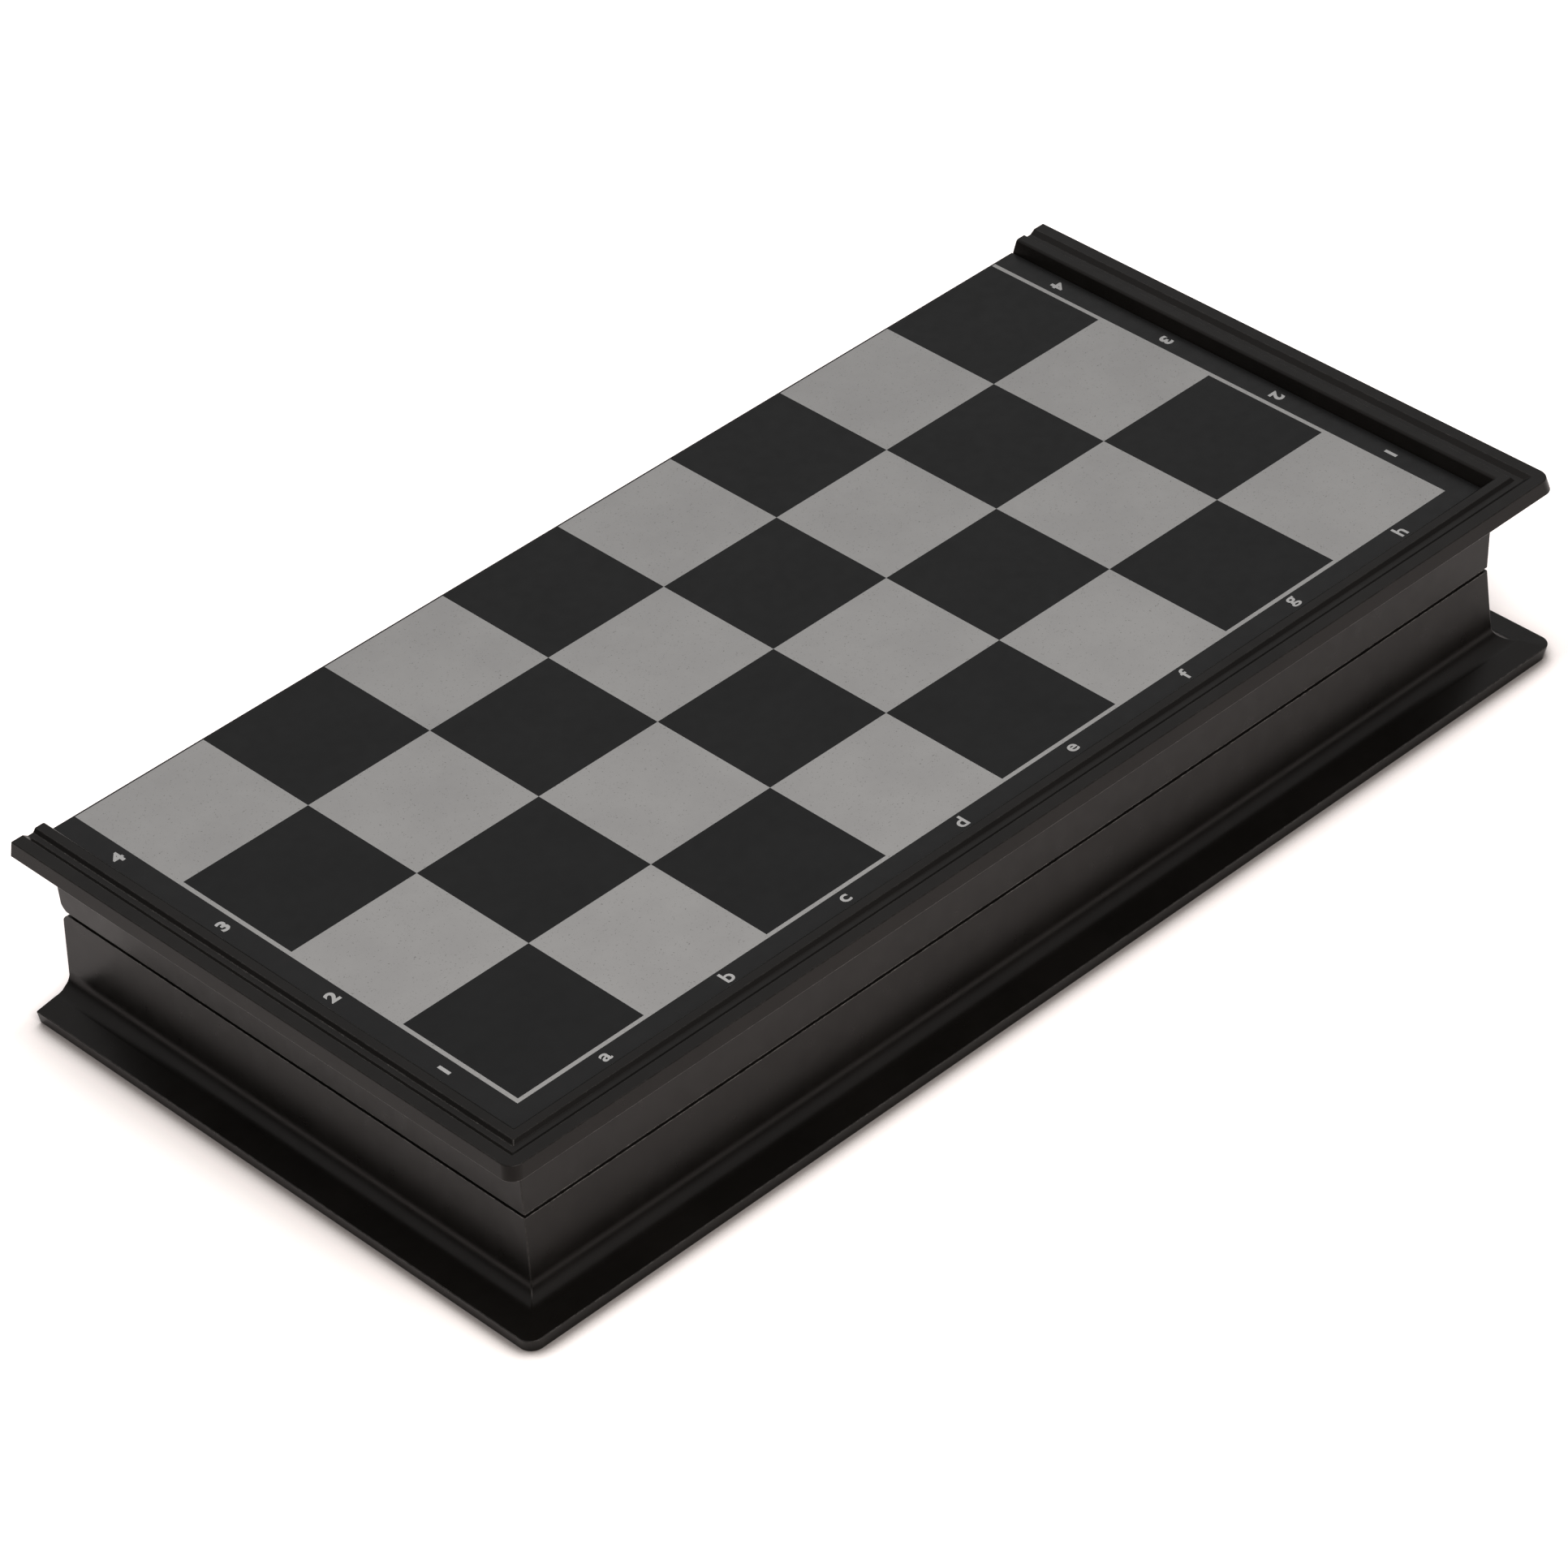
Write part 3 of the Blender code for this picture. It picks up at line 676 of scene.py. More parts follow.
def surface(
    name, colours, roughness, grain, wear_and_highlight=None, metallic=0.0, specular=0.5, cloud=60, flecks=None,
    sheen=0.0, tint=(1, 1, 1),
):
    """A material with clouded colour, uneven gloss, grained bump, and edges lightened as wear and painted
    highlight.

    colours are the darkest and lightest base colour, roughness its least and most, and grain a
    list of (features per metre, height) for the bump."""
    made, tree, shader = graph_of(name)
    where = node(tree, "TexCoord").outputs["Object"]
    clouds = noise(tree, where, cloud, 4.0)
    colour = mix(tree, ramp(tree, clouds, 0.3, 0.7), colours[0], colours[1])
    rough = ramp(tree, noise(tree, where, cloud * 5.3, 5.0), 0.25, 0.75, *roughness)
    if flecks:
        per_metre, threshold, fleck_colour = flecks
        spots = noise(tree, where, per_metre, 1.0)
        colour = mix(tree, ramp(tree, spots, threshold, threshold + 0.03), colour, fleck_colour)
    # Convex edges are lightened: worn nicks where the noise is high, and a painted highlight of at least a
    # quarter strength along every rounded edge.
    if wear_and_highlight:
        wear_and_highlight_colour, amount = wear_and_highlight
        here = node(tree, "NewGeometry")
        eased = node(tree, "Bevel", {"samples": 4}, Radius=0.25 * MM)
        turn = vectors(tree, "DOT_PRODUCT", here.outputs["Normal"], eased.outputs["Normal"])
        edges = ramp(tree, turn.outputs["Value"], 0.995, 0.90)
        outward = ramp(tree, here.outputs["Pointiness"], 0.50, 0.52)
        chips_and_highlight = ramp(tree, noise(tree, where, 700, 6.0, 0.7), 0.40, 0.65, 0.25, amount)
        colour = mix(tree, product(tree, edges, product(tree, outward, chips_and_highlight)), colour, wear_and_highlight_colour)
    normal = None
    for per_metre, height in grain:
        normal = bump(tree, noise(tree, where, per_metre, 2.0), height, 1.0, normal)
    tree.links.new(colour, shader.inputs["Base Color"])
    tree.links.new(rough, shader.inputs["Roughness"])
    tree.links.new(normal, shader.inputs["Normal"])
    shader.inputs["Metallic"].default_value = metallic
    shader.inputs["Specular IOR Level"].default_value = specular
    shader.inputs["Specular Tint"].default_value = (*tint, 1)
    if sheen:
        shader.inputs["Sheen Weight"].default_value = sheen
        shader.inputs["Sheen Roughness"].default_value = 0.5
    return made


def make_materials():
    fine = [(5200, 0.0035 * MM), (1300, 0.004 * MM)]
    finishes = {
        # The plastic's lighter edges are partly worn nicks and partly a painted highlight.
        "plastic": surface(
            "black_moulded_plastic", ((0.0030, 0.0026, 0.0022), (0.0042, 0.0036, 0.0031)), (0.27, 0.34),
            [(5200, 0.002 * MM), (1300, 0.0025 * MM)], specular=0.125, tint=(1.0, 0.94, 0.92),
            wear_and_highlight=((0.27, 0.255, 0.24), 0.9), cloud=45,
        ),
        "margin": surface(
            "board_margin_print", ((0.0042, 0.0040, 0.0040), (0.0052, 0.0050, 0.0050)), (0.26, 0.34), fine,
            specular=0.12,
        ),
        "dark": surface(
            "board_dark_print", ((0.0030, 0.0029, 0.0029), (0.0040, 0.0039, 0.0039)), (0.28, 0.36), fine,
            specular=0.11,
        ),
        "silver": surface(
            "board_silver_print", ((0.208, 0.203, 0.199), (0.224, 0.219, 0.214)), (0.44, 0.56), fine,
            metallic=0.15, flecks=(2600, 0.70, (0.11, 0.105, 0.10)),
        ),
        "pale": surface(
            "board_pale_print", ((0.27, 0.266, 0.262), (0.29, 0.286, 0.282)), (0.44, 0.56), fine,
            metallic=0.1,
        ),
        "foam": surface(
            "black_foam_sheet", ((0.012, 0.012, 0.0125), (0.022, 0.022, 0.023)), (0.85, 1.0),
            [(2200, 0.12 * MM), (700, 0.10 * MM)], sheen=0.25, specular=0.2, cloud=200,
        ),
        "steel": surface(
            "zinc_sheet_steel", ((0.42, 0.43, 0.45), (0.58, 0.59, 0.60)), (0.28, 0.42),
            [(3000, 0.01 * MM)], metallic=1.0, cloud=120,
        ),
        "pin": surface(
            "bright_pin_steel", ((0.50, 0.50, 0.51), (0.62, 0.62, 0.63)), (0.18, 0.30),
            [(2600, 0.006 * MM)], metallic=1.0, cloud=400,
        ),
        "nickel": surface(
            "nickel_plate", ((0.58, 0.56, 0.52), (0.70, 0.68, 0.64)), (0.14, 0.26),
            [(2600, 0.006 * MM)], metallic=1.0, cloud=400,
        ),
        "link": surface(
            "hinge_link_plastic", ((0.010, 0.010, 0.010), (0.016, 0.0155, 0.015)), (0.40, 0.52),
            fine, cloud=300,
        ),
        "silver_men": surface(
            "silver_men_paint", ((0.30, 0.295, 0.29), (0.37, 0.365, 0.36)), (0.30, 0.42), fine,
            metallic=0.55, flecks=(6500, 0.66, (0.5, 0.5, 0.49)), cloud=250,
            wear_and_highlight=((0.55, 0.54, 0.53), 0.4),
        ),
        "black_men": surface(
            "black_men_plastic", ((0.009, 0.009, 0.009), (0.015, 0.0147, 0.0143)), (0.26, 0.38), fine,
            wear_and_highlight=((0.09, 0.09, 0.09), 0.5), cloud=250,
        ),
        "felt": surface(
            "base_felt", ((0.012, 0.040, 0.022), (0.022, 0.065, 0.036)), (0.9, 1.0),
            [(4200, 0.10 * MM), (1400, 0.06 * MM)], sheen=0.4, specular=0.2, cloud=500,
        ),
    }
    return finishes


# ---------------------------------------------------------------- camera, light and floor


def add_camera():
    azimuth, elevation, roll = (math.radians(a) for a in (-41.661, 37.751, -4.220))
    target = Vector((-0.03186, -0.02686, PARTING_Z + PANEL_DEPTH))
    distance = 1.3936
    level = math.cos(elevation)
    back = Vector((math.sin(azimuth) * level, -math.cos(azimuth) * level, math.sin(elevation)))
    right = Vector((math.cos(azimuth), math.sin(azimuth), 0))
    up = back.cross(right)
    turned_right = right * math.cos(roll) + up * math.sin(roll)
    turned_up = up * math.cos(roll) - right * math.sin(roll)
    data = bpy.data.cameras.new("camera")
    data.lens = 151.295
    data.sensor_width = 36
    data.clip_start = 0.05
    camera = bpy.data.objects.new("camera", data)
    bpy.context.scene.collection.objects.link(camera)
    facing = Matrix((turned_right, turned_up, back)).transposed().to_4x4()
    camera.matrix_world = Matrix.Translation(target + back * distance) @ facing
    bpy.context.scene.camera = camera


def softbox(name, location, aim, size, watts, colour):
    data = bpy.data.lights.new(name, "AREA")
    data.shape = "RECTANGLE"
    data.size, data.size_y = size
    data.energy = watts
    data.color = colour
    lamp = bpy.data.objects.new(name, data)
    lamp.location = location
    lamp.rotation_euler = (Vector(aim) - Vector(location)).to_track_quat("-Z", "Y").to_euler()
    bpy.context.scene.collection.objects.link(lamp)


def ring_mesh(name, profile, sides=96):
    """A sheet turned about Z from points (radius, height)."""
    shape = bmesh.new()
    rings = []
    for radius, height in profile:
        rings.append([shape.verts.new((x, y, height)) for x, y in circle((0, 0), radius, sides)])
    for ring, following in zip(rings, rings[1:]):
        for index in range(sides):
            after = (index + 1) % sides
            shape.faces.new((ring[index], following[index], following[after], ring[after]))
    mesh = bpy.data.meshes.new(name)
    shape.to_mesh(mesh)
    shape.free()
    mesh.shade_smooth()
    return mesh


FLOOR_Z = -0.05 * MM
FLOOR_RADIUS = 0.62


def add_floor():
    """White paper under the object with a painted contact shadow and a painted glow that grows away from the
    object, and a white backdrop all round.
    """
    made, tree, shader = graph_of("studio_floor")
    shader.inputs["Roughness"].default_value = 1.0
    shader.inputs["Specular IOR Level"].default_value = 0.0
    shader.inputs["Emission Color"].default_value = (1, 0.92, 0.90, 1)
    where = node(tree, "TexCoord").outputs["Object"]
    # Painted light: the floor's glow is worked out from the distance past the object's outline, with the ends
    # counted at 0.4 so the painted shadow there is wider.
    folded = vectors(tree, "ABSOLUTE", where)
    beyond = vectors(tree, "SUBTRACT", folded.outputs[0], (GRID_HALF + REACH, HINGE_Y, 0))
    outside = vectors(tree, "MAXIMUM", beyond.outputs[0])
    slower = vectors(tree, "MULTIPLY", outside.outputs[0], (0.4, 1, 0))
    length = vectors(tree, "LENGTH", slower.outputs[0])
    painted_glow = ramp(tree, length.outputs["Value"], 0.0, 0.010, 0.05, 0.42)
    # Painted contact shadow: the paper's colour darkens to a warm grey where ambient occlusion is high, right
    # beside the object.
    shade = node(tree, "AmbientOcclusion", {"samples": 8}, Distance=0.010)
    openness = ramp(tree, shade.outputs["AO"], 0.44, 0.93)
    paper_with_painted_shadow = mix(tree, openness, (0.18, 0.16, 0.15), (0.97, 0.91, 0.89))
    tree.links.new(paper_with_painted_shadow, shader.inputs["Base Color"])
    tree.links.new(painted_glow, shader.inputs["Emission Strength"])
    mesh = ring_mesh("floor", [(0.001, FLOOR_Z), (FLOOR_RADIUS, FLOOR_Z)])
    mesh.materials.append(made)
    floor = bpy.data.objects.new("studio_floor", mesh)

    made, tree, shader = graph_of("studio_backdrop")
    shader.inputs["Base Color"].default_value = (0, 0, 0, 1)
    shader.inputs["Specular IOR Level"].default_value = 0.0
    shader.inputs["Emission Color"].default_value = (1, 1, 1, 1)
    shader.inputs["Emission Strength"].default_value = 1.0
    profile = [(FLOOR_RADIUS - 0.01, FLOOR_Z - 0.001), (4.0, FLOOR_Z - 0.001), (5.0, 0.4), (5.5, 2.5)]
    mesh = ring_mesh("backdrop", profile)
    mesh.materials.append(made)
    backdrop = bpy.data.objects.new("studio_backdrop", mesh)
    backdrop.visible_diffuse = False
    backdrop.visible_glossy = False
    for thing in (floor, backdrop):
        bpy.context.scene.collection.objects.link(thing)


def add_studio():
    """Large soft lamps over the near side, and a room that is dark at eye level."""
    add_floor()
    softbox("key", (-0.22, -0.42, 0.44), (-0.04, -0.05, 0), (0.4, 0.3), 2.4, (1.0, 0.965, 0.93))
    softbox("top", (0.0, 0.05, 1.5), (0, 0, 0), (1.2, 1.2), 1.5, (1.0, 0.975, 0.95))

    world = bpy.data.worlds.new("studio")
    world.use_nodes = True
    tree = world.node_tree
    where = node(tree, "TexCoord").outputs["Generated"]
    axes = node(tree, "SeparateXYZ")
    tree.links.new(where, axes.inputs[0])
    level = ramp(tree, axes.outputs["Z"], 0.12, 0.62, 0.02, 1.05)
    background = tree.nodes["Background"]
    background.inputs["Color"].default_value = (1, 1, 1, 1)
    tree.links.new(level, background.inputs["Strength"])
    bpy.context.scene.world = world
    bpy.context.scene.view_settings.view_transform = "Standard"


# ---------------------------------------------------------------- inserts, hinges and magnets


MEN_KINDS = ("king", "queen", "bishop", "knight", "rook", "pawn")
POCKET_SIDE_GAP = 0.4 * MM
POCKET_END_GAP = 0.5 * MM
POCKET_CORNER = 1.2 * MM
FOAM_ROUND = 0.5 * MM
LINK_ROUND = 0.5 * MM
BORE_EASE = 0.3 * MM
PIN_ROUND = 0.3 * MM
DISC_ROUND = 0.25 * MM
SHEET_ROUND = 0.1 * MM


def men_of(side):
    """(node, kind, box) of the men that lie in one half."""
    found = []
    for name in sorted(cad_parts):
        words = name.split("_")
        if words[0] == side and words[1] in MEN_KINDS:
            found.append((name, words[1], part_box(name)))
    return found


def insert_mesh(side):
    """The foam sheet, with a pocket through it for each man."""
    eased = [(gap, INSERT_TOP + FOAM_ROUND - rise) for gap, rise in quarter(FOAM_ROUND, 4, 0, 1)]
    eased.reverse()
    levels = eased + [(0, WELL_DEPTH - CLEARANCE)]
    body = layered("foam", lambda gap: well_outline(CLEARANCE + gap), levels)
    pockets = []
    for _, _, (low, high) in men_of(side):
        left, right = low.x - POCKET_SIDE_GAP, high.x + POCKET_SIDE_GAP
        plan = rectangle(left, right, low.y - POCKET_END_GAP, high.y + POCKET_END_GAP)
        mouth = [(FOAM_ROUND, INSERT_TOP - PAST)] + eased + [(0, WELL_DEPTH + PAST)]
        outline_at = lambda gap, plan=plan: rounded(grown(plan, gap), POCKET_CORNER)
        pockets.append(layered("pocket", outline_at, mouth))
    return cut(body, merged("pockets", pockets))


def stadium(gap):
    """A link's outline in y and depth, moved out by gap."""
    radius = LINK_RADIUS + gap
    outline = []
    for centre, start in ((-PIVOT_DEPTH, math.pi), (PIVOT_DEPTH, 0)):
        for step in range(25):
            angle = start + math.pi * step / 24
            outline.append((PIVOT_Y + radius * math.cos(angle), centre + radius * math.sin(angle)))
    return outline


def rounded_ends(low, high, radius, steps=4):
    """(gap, level) of a solid between two levels with its edges rounded."""
    start = [(-gap, low + radius - level) for gap, level in reversed(quarter(radius, steps, 0, 1))]
    return start + [(-gap, high - radius + level) for gap, level in quarter(radius, steps, 0, 1)]


def link_mesh(x):
    low, high = x - LINK_HALF, x + LINK_HALF
    body = along_x("link", stadium, rounded_ends(low, high, LINK_ROUND))
    bores = []
    for depth in (PIVOT_DEPTH, -PIVOT_DEPTH):
        ends = [(BORE_EASE, low - PAST), (BORE_EASE, low), (0, low + BORE_EASE)]
        ends += [(0, high - BORE_EASE), (BORE_EASE, high), (BORE_EASE, high + PAST)]
        round_at = lambda gap, depth=depth: circle((PIVOT_Y, depth), BORE_RADIUS + gap, 40)
        bores.append(along_x("bore", round_at, ends))
    return cut(body, merged("bores", bores))


def pin_mesh(x):
    round_at = lambda gap: circle((PIVOT_Y, PIVOT_DEPTH), PIN_RADIUS + gap, 40)
    return along_x("pin", round_at, rounded_ends(x - PIN_HALF, x + PIN_HALF, PIN_ROUND))


def disc_mesh(x):
    """A magnet or striker disc with rounded edges, flush with the parting face."""
    round_at = lambda gap: circle((x, MAGNET_Y), MAGNET_RADIUS + gap, 64)
    levels = rounded_ends(EDGE_DEPTH, EDGE_DEPTH + MAGNET_THICKNESS, DISC_ROUND)
    return layered("disc", round_at, levels)


def steel_mesh():
    """The sheet under the film, with rounded corners and a sheared edge."""
    plan = rectangle(steel_low.x, steel_high.x, steel_low.y, steel_high.y)
    low, high = steel_low.z - PARTING_Z, steel_high.z - PARTING_Z
    levels = rounded_ends(low, high, SHEET_ROUND, 2)
    return layered("sheet", lambda gap: rounded(grown(plan, gap), STEEL_CORNER), levels)


def add_inside(finishes):
    for side, body in BODIES.items():
        for mesh, name, finish, slot, node_name in (
            (insert_mesh(side), "_foam", "foam", "black_foam", "_foam_insert"),
            (steel_mesh(), "_steel", "steel", "sheet_steel", "_steel_sheet"),
        ):
            mesh = smooth(place_half(mesh, side))
            piece(side + name, mesh, [finishes[finish]], body, [side + node_name])
    for hand, sign in (("left", 1), ("right", -1)):
        hinge_x, magnet_x = sign * HINGE_X, sign * MAGNET_X
        for mesh, side, name, finish, body, slot, node_name in (
            (link_mesh(hinge_x), "upper", "link_", "link", "hinge_links", "link_plastic", "hinge_link_"),
            (pin_mesh(hinge_x), "lower", "lower_pin_", "pin", "base", "pin_steel", "lower_hinge_pin_"),
            (pin_mesh(hinge_x), "upper", "upper_pin_", "pin", "lid", "pin_steel", "upper_hinge_pin_"),
            (disc_mesh(magnet_x), "lower", "magnet_", "nickel", "base", "magnet_nickel", "closing_magnet_"),
            (disc_mesh(magnet_x), "upper", "striker_", "pin", "lid", "pin_steel", "striker_disc_"),
        ):
            mesh = smooth(place_half(mesh, side))
            piece(name + hand, mesh, [finishes[finish]], body, [node_name + hand])


# ---------------------------------------------------------------- men


# Outlines from the foot up: (share of base radius, share of height, rounding as a share of base
# radius). FOOT's heights are shares of the base radius too.
STEMS = {
    "king": [
        (0.40, 0.24, 0.6), (0.30, 0.42, 3.0), (0.31, 0.535, 0.3), (0.60, 0.565, 0.04), (0.60, 0.59, 0.04),
        (0.40, 0.61, 0.04), (0.50, 0.625, 0.03), (0.50, 0.64, 0.03), (0.33, 0.66, 0.1), (0.40, 0.74, 1.0),
        (0.56, 0.865, 0.05), (0.56, 0.88, 0.05), (0.40, 0.90, 0.1), (0.16, 0.925, 0.1), (0.14, 0.94, 0.05),
        (0, 0.945, 0),
    ],
    "queen": [
        (0.40, 0.25, 0.6), (0.30, 0.43, 3.0), (0.31, 0.555, 0.3), (0.60, 0.59, 0.04), (0.60, 0.615, 0.04),
        (0.40, 0.635, 0.04), (0.50, 0.65, 0.03), (0.50, 0.665, 0.03), (0.33, 0.69, 0.1), (0.38, 0.78, 1.2),
        (0.60, 0.92, 0.04), (0.56, 0.935, 0.03), (0.46, 0.915, 0.03), (0.36, 0.935, 0.3), (0.10, 0.955, 0.05),
        (0.08, 0.958, 0), (0.125, 0.968, 0.06), (0.125, 0.985, 0.08), (0.07, 1.0, 0.05), (0, 1.0, 0),
    ],
    "bishop": [
        (0.40, 0.27, 0.6), (0.29, 0.42, 2.0), (0.30, 0.53, 0.3), (0.54, 0.56, 0.04), (0.54, 0.585, 0.04),
        (0.38, 0.605, 0.04), (0.44, 0.62, 0.03), (0.44, 0.635, 0.03), (0.30, 0.66, 0.1), (0.47, 0.76, 0.5),
        (0.34, 0.90, 0.8), (0.08, 0.945, 0.05), (0.115, 0.96, 0.06), (0.115, 0.98, 0.06), (0.06, 1.0, 0.05),
        (0, 1.0, 0),
    ],
    "rook": [
        (0.52, 0.33, 0.6), (0.45, 0.50, 2.0), (0.46, 0.64, 0.3), (0.66, 0.685, 0.04), (0.66, 0.71, 0.04),
        (0.54, 0.73, 0.06), (0.68, 0.79, 0.2), (0.70, 1.0, 0.03), (0.50, 1.0, 0.03), (0.49, 0.90, 0.04),
        (0, 0.89, 0),
    ],
    "pawn": [
        (0.42, 0.32, 0.5), (0.31, 0.46, 1.5), (0.32, 0.575, 0.3), (0.58, 0.61, 0.04), (0.58, 0.64, 0.04),
        (0.34, 0.675, 0.05),
    ],
    "knight": [(0.52, 0.28, 0.3), (0.30, 0.36, 0.1), (0, 0.36, 0)],
}
FOOT = [
    (0, 0.045, 0), (0.93, 0.045, 0.02), (1.0, 0.085, 0.04), (1.0, 0.235, 0.07), (0.90, 0.30, 0.03),
    (0.90, 0.335, 0.03), (0.82, 0.37, 0.03), (0.60, 0.52, 0.5), (0.58, 0.60, 0.06), (0.52, 0.625, 0.04),
]
MAN_SIDES = 64
FELT_SHARE = 0.87
QUEEN_POINTS = 9
KNIGHT_UNITS = 4.2


def turned(name, outline):
    """A closed solid turned about Z from points (radius, height) that start and end on the axis."""
    shape = bmesh.new()
    rings = []
    for radius, height in outline:
        if radius < 1e-7:
            rings.append([shape.verts.new((0, 0, height))] * MAN_SIDES)
            continue
        rings.append([shape.verts.new((x, y, height)) for x, y in circle((0, 0), radius, MAN_SIDES)])
    for ring, following in zip(rings, rings[1:]):
        for index in range(MAN_SIDES):
            after = (index + 1) % MAN_SIDES
            corners = [ring[index], ring[after], following[after], following[index]]
            unique = [corner for place, corner in enumerate(corners) if corner not in corners[:place]]
            if len(unique) > 2:
                shape.faces.new(unique)
    return mesh_of(name, shape)


def ball_outline(centre, radius, start):
    """Points (radius, height) up a ball from an angle below its middle to its top."""
    angles = [start + (math.pi / 2 - start) * step / 16 for step in range(17)]
    points = [(radius * math.cos(angle), centre + radius * math.sin(angle)) for angle in angles]
    return points[:-1] + [(0, centre + radius)]


def man_body(kind, base, height):
    corners = [(share * base, level * base, rounding * base, 0) for share, level, rounding in FOOT]
    corners += [(share * base, level * height, rounding * base, 0) for share, level, rounding in STEMS[kind]]
    outline = [(radius, level) for radius, level, _ in filleted(corners, steps=6)]
    if kind == "pawn":
        ball = 0.175 * height
        outline += ball_outline(height - ball, ball, -0.95)
    return turned(kind, outline)


def box_mesh(size, place):
    """A rounded block of this size, set in place by a matrix."""
    x, y, z = (side / 2 for side in size)
    plan = rectangle(-x, x, -y, y)
    radius = 0.15 * min(x, y, z)
    outline_at = lambda gap: rounded(grown(plan, gap), radius, 2)
    mesh = layered("block", outline_at, rounded_ends(-z, z, radius, 2))
    mesh.transform(place)
    return mesh


def cross_mesh(base, height):
    """The king's cross, with arms that widen outwards."""
    low, high = 0.93 * height, height
    middle = low + 0.58 * (high - low)
    arm, waist, tip = 0.24 * base, 0.05 * base, 0.11 * base
    outline = [(-tip, low), (tip, low), (waist, middle - waist), (arm, middle - tip), (arm, middle + tip)]
    outline += [(waist, middle + waist), (tip, high), (-tip, high), (-waist, middle + waist)]
    outline += [(-arm, middle + tip), (-arm, middle - tip), (-waist, middle - waist)]
    mesh = along_x("cross", lambda gap: outline, [(0, -0.085 * base), (0, 0.085 * base)])
    mesh.transform(Matrix.Rotation(math.pi / 2, 4, "Z"))
    return mesh


def crown_cutters(kind, base, height):
    """What is cut from a turned body: the rook's crenels, the queen's points or the bishop's slit."""
    tools = []
    if kind == "rook":
        for turn in range(3):
            place = Matrix.Rotation(math.pi * turn / 3, 4, "Z") @ Matrix.Translation((0, 0, height))
            tools.append(box_mesh((3 * base, 0.22 * base, 0.15 * height), place))
    if kind == "queen":
        for turn in range(QUEEN_POINTS):
            spin = Matrix.Rotation(2 * math.pi * turn / QUEEN_POINTS, 4, "Z")
            round_at = lambda gap: circle((0, 0.945 * height), 0.095 * base, 16)
            tool = along_x("notch", round_at, [(0, 0.40 * base), (0, 0.75 * base)])
            tool.transform(spin)
            tools.append(tool)
    if kind == "bishop":
        middle = Matrix.Translation((0, 0.34 * base, 0.845 * height))
        tilt = middle @ Matrix.Rotation(math.radians(-52), 4, "X")
        tools.append(box_mesh((1.4 * base, 0.62 * base, 0.07 * base), tilt))
    return tools


# The knight's head as balls joined into one skin: (across, up, radius across, radius sideways) in
# units of the man's height / KNIGHT_UNITS
NECK = [
    (0.00, 1.25, 0.56, 0.47), (-0.06, 1.60, 0.56, 0.44), (-0.16, 2.00, 0.54, 0.40), (-0.20, 2.45, 0.50, 0.37),
    (-0.15, 2.90, 0.46, 0.35), (-0.02, 3.30, 0.40, 0.33),
]
HEAD = [
    (0.02, 3.35, 0.40, 0.33), (0.20, 3.22, 0.37, 0.33), (0.36, 3.02, 0.32, 0.29), (0.50, 2.82, 0.26, 0.24),
    (0.60, 2.66, 0.22, 0.21),
]
CHEEK = [(0.06, 2.98, 0.34, 0.37), (0.22, 2.86, 0.26, 0.31)]
MANE = [
    (0.10, 3.84, 0.10, 0.10), (-0.20, 3.66, 0.17, 0.13), (-0.44, 3.34, 0.17, 0.13), (-0.56, 2.94, 0.16, 0.13),
    (-0.60, 2.50, 0.16, 0.13), (-0.60, 2.06, 0.16, 0.13), (-0.54, 1.64, 0.15, 0.13),
]
EAR = [
    (-0.02, 3.62, 0.12, 0.09), (-0.01, 3.80, 0.10, 0.075), (0.02, 3.96, 0.065, 0.05),
    (0.04, 4.08, 0.035, 0.03),
]
EYE = [(0.17, 3.34, 0.075, 0.07), (0.20, 3.33, 0.07, 0.07)]
NOSTRIL = [(0.66, 2.74, 0.05, 0.05), (0.68, 2.72, 0.045, 0.05)]


def ball_chain(shape, chain, unit, sideways=0.0, steps=10):
    """Adds balls close together along a chain, flattened sideways, to a bmesh."""
    for first, second in zip(chain, chain[1:]):
        for step in range(steps):
            share = step / steps
            across, up, radius, half = (a + (b - a) * share for a, b in zip(first, second))
            place = Matrix.Translation((sideways * unit, across * unit, up * unit))
            place = place @ Matrix.Diagonal((half * unit, radius * unit, radius * unit, 1))
            bmesh.ops.create_icosphere(shape, subdivisions=2, radius=1, matrix=place)


def knight_head(height):
    """The head, joined by a voxel remesh and smoothed. It faces +Y."""
    shape = bmesh.new()
    unit = height / KNIGHT_UNITS
    for chain in (NECK, HEAD, CHEEK):
        ball_chain(shape, chain, unit)
    ball_chain(shape, MANE, unit, steps=6)
    for sign in (-1, 1):
        ball_chain(shape, EAR, unit, sideways=0.16 * sign)
        ball_chain(shape, EYE, unit, sideways=0.29 * sign, steps=2)
        ball_chain(shape, NOSTRIL, unit, sideways=0.15 * sign, steps=2)
    skin = bpy.data.meshes.new("head")
    shape.to_mesh(skin)
    shape.free()
    remesh = ("REMESH", {"mode": "VOXEL", "voxel_size": 0.30 * MM})
    skin = evaluated(skin, remesh, ("SMOOTH", {"factor": 0.5, "iterations": 4}))
    mouth = Matrix.Translation((0, 0.70 * unit, 2.60 * unit)) @ Matrix.Rotation(math.radians(-38), 4, "X")
    return cut(skin, box_mesh((1.2 * unit, 0.34 * unit, 0.05 * unit), mouth))


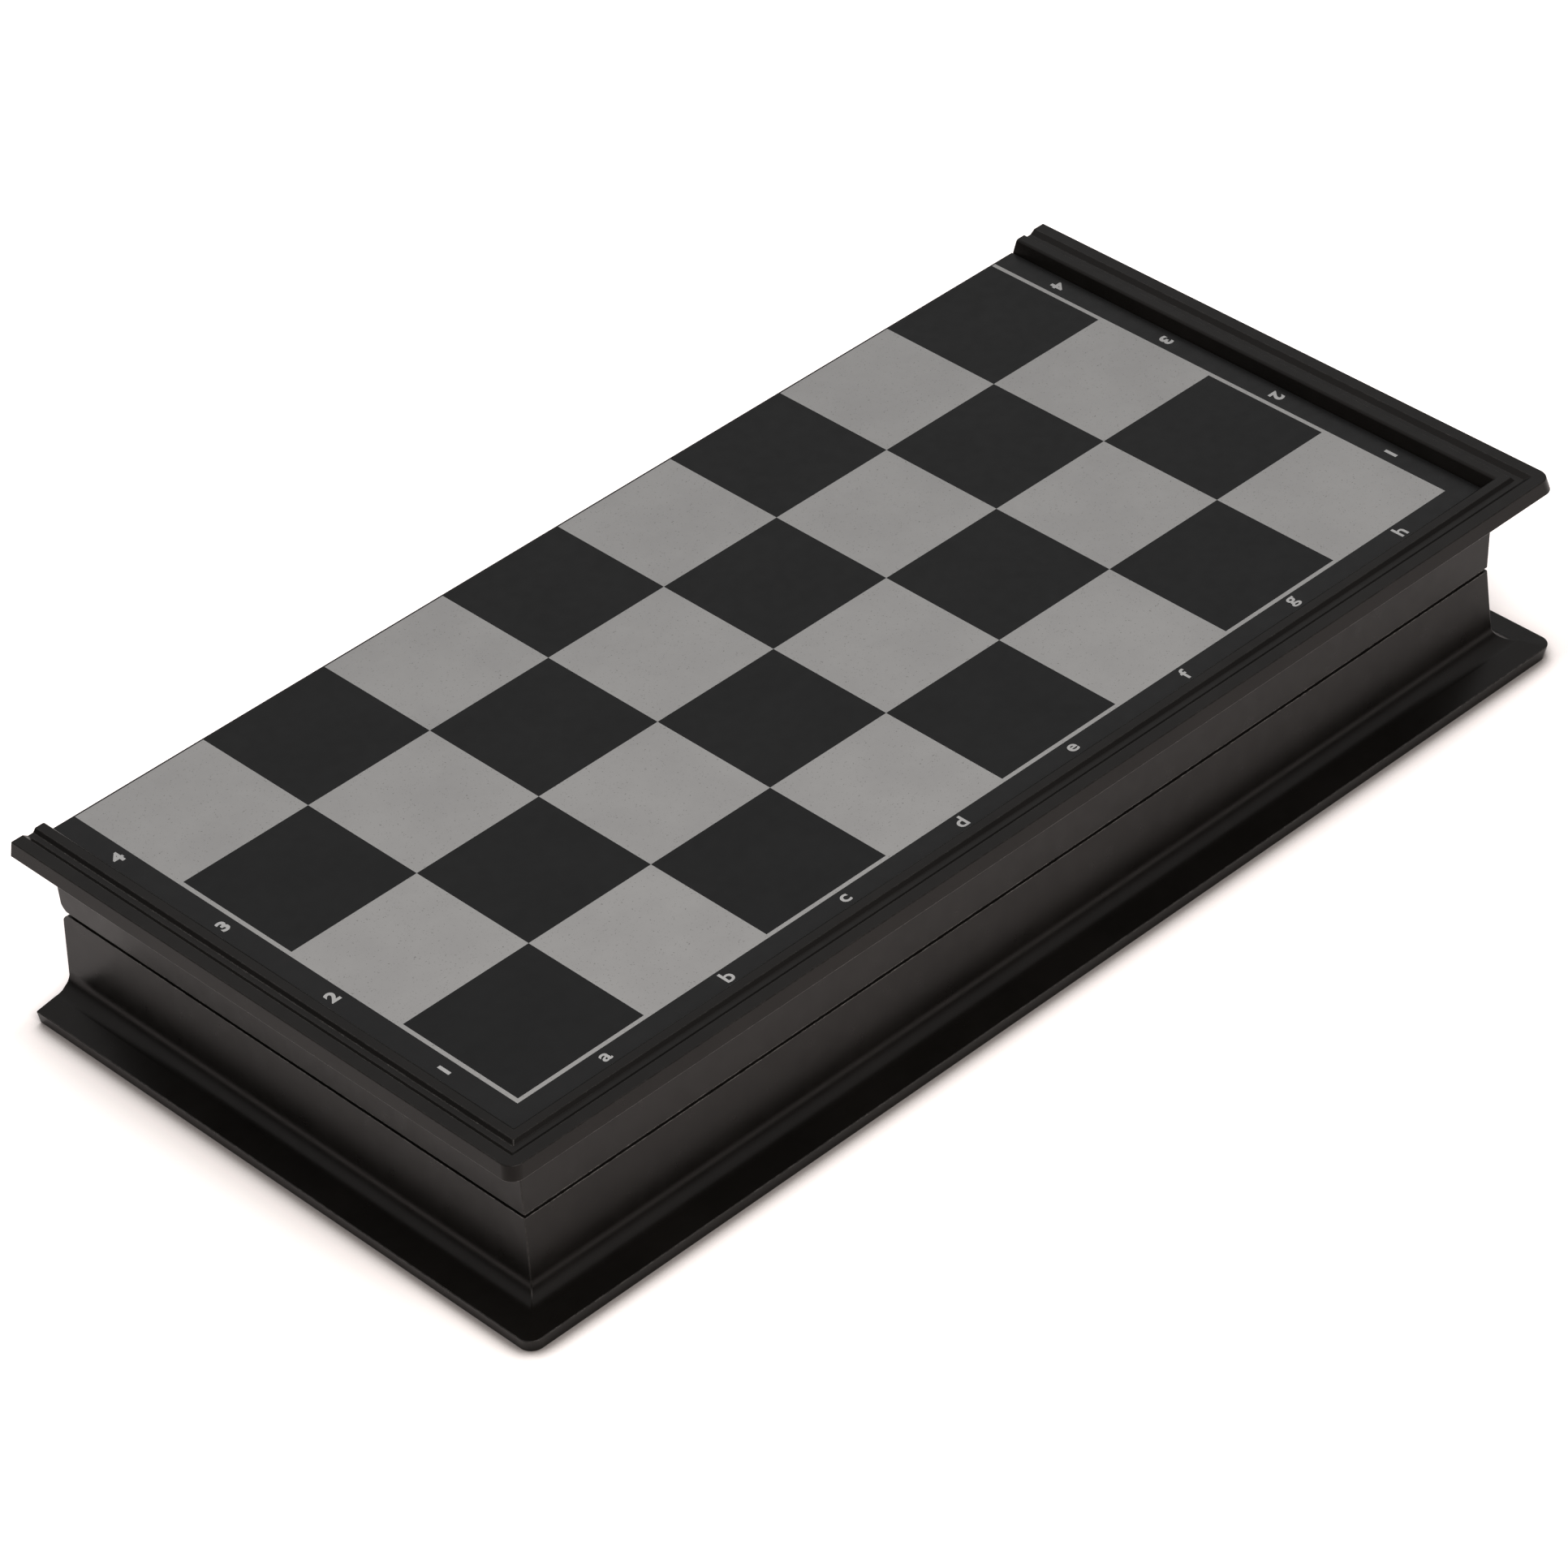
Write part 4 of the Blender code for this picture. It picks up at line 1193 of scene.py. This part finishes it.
def felt_mesh(base):
    levels = rounded_ends(0, 0.055 * base, 0.015 * base, 2)
    return layered("felt", lambda gap: circle((0, 0), FELT_SHARE * base + gap, 48), levels)


def man_mesh(kind, base, height):
    """One man standing on z = 0, with a felt disc under its foot."""
    body = man_body(kind, base, height)
    for tool in crown_cutters(kind, base, height):
        body = cut(body, tool)
    parts = [smooth(body)]
    if kind == "king":
        parts.append(smooth(cross_mesh(base, height)))
    if kind == "knight":
        parts.append(smooth(knight_head(height), weighted=False))
    shape = bmesh.new()
    for mesh in parts:
        for polygon in mesh.polygons:
            polygon.material_index = 0
        shape.from_mesh(mesh)
    felt = smooth(felt_mesh(base))
    for polygon in felt.polygons:
        polygon.material_index = 1
    shape.from_mesh(felt)
    joined = bpy.data.meshes.new(kind)
    shape.to_mesh(joined)
    shape.free()
    return joined


def add_men(finishes):
    for side, colour in (("lower", "silver"), ("upper", "black")):
        meshes = {}
        half_turn = Matrix.Rotation(math.pi, 4, "Y") if side == "upper" else Matrix()
        for name, kind, (low, high) in men_of(side):
            base = (high.x - low.x) / 2
            height = high.y - low.y
            if kind not in meshes:
                meshes[kind] = man_mesh(kind, base, height)
            at_hinge = kind != "pawn"
            foot = Vector(((low.x + high.x) / 2, high.y if at_hinge else low.y, (low.z + high.z) / 2))
            tilt = Matrix.Rotation(math.pi / 2 if at_hinge else -math.pi / 2, 4, "X")
            place = Matrix.Translation(foot) @ half_turn @ tilt
            inks = [finishes[colour + "_men"], finishes["felt"]]
            new_name = name.replace(side, colour)
            piece(new_name, meshes[kind], inks, BODIES[side], [name], place)


# ---------------------------------------------------------------- the object


def add_board(finishes):
    case = shell_mesh()
    for side, body in BODIES.items():
        mesh = smooth(place_half(case, side))
        piece(side + "_shell", mesh, [finishes["plastic"]], body, [side + "_case"])
        mesh = place_half(printed_film(side), side)
        inks = [finishes[name] for name in ("margin", "dark", "silver", "pale")]
        piece(side + "_printed_board", mesh, inks, body, [side + "_board_film"])


def main():
    finishes = make_materials()
    add_camera()
    add_studio()
    add_board(finishes)
    add_inside(finishes)
    add_men(finishes)


main()
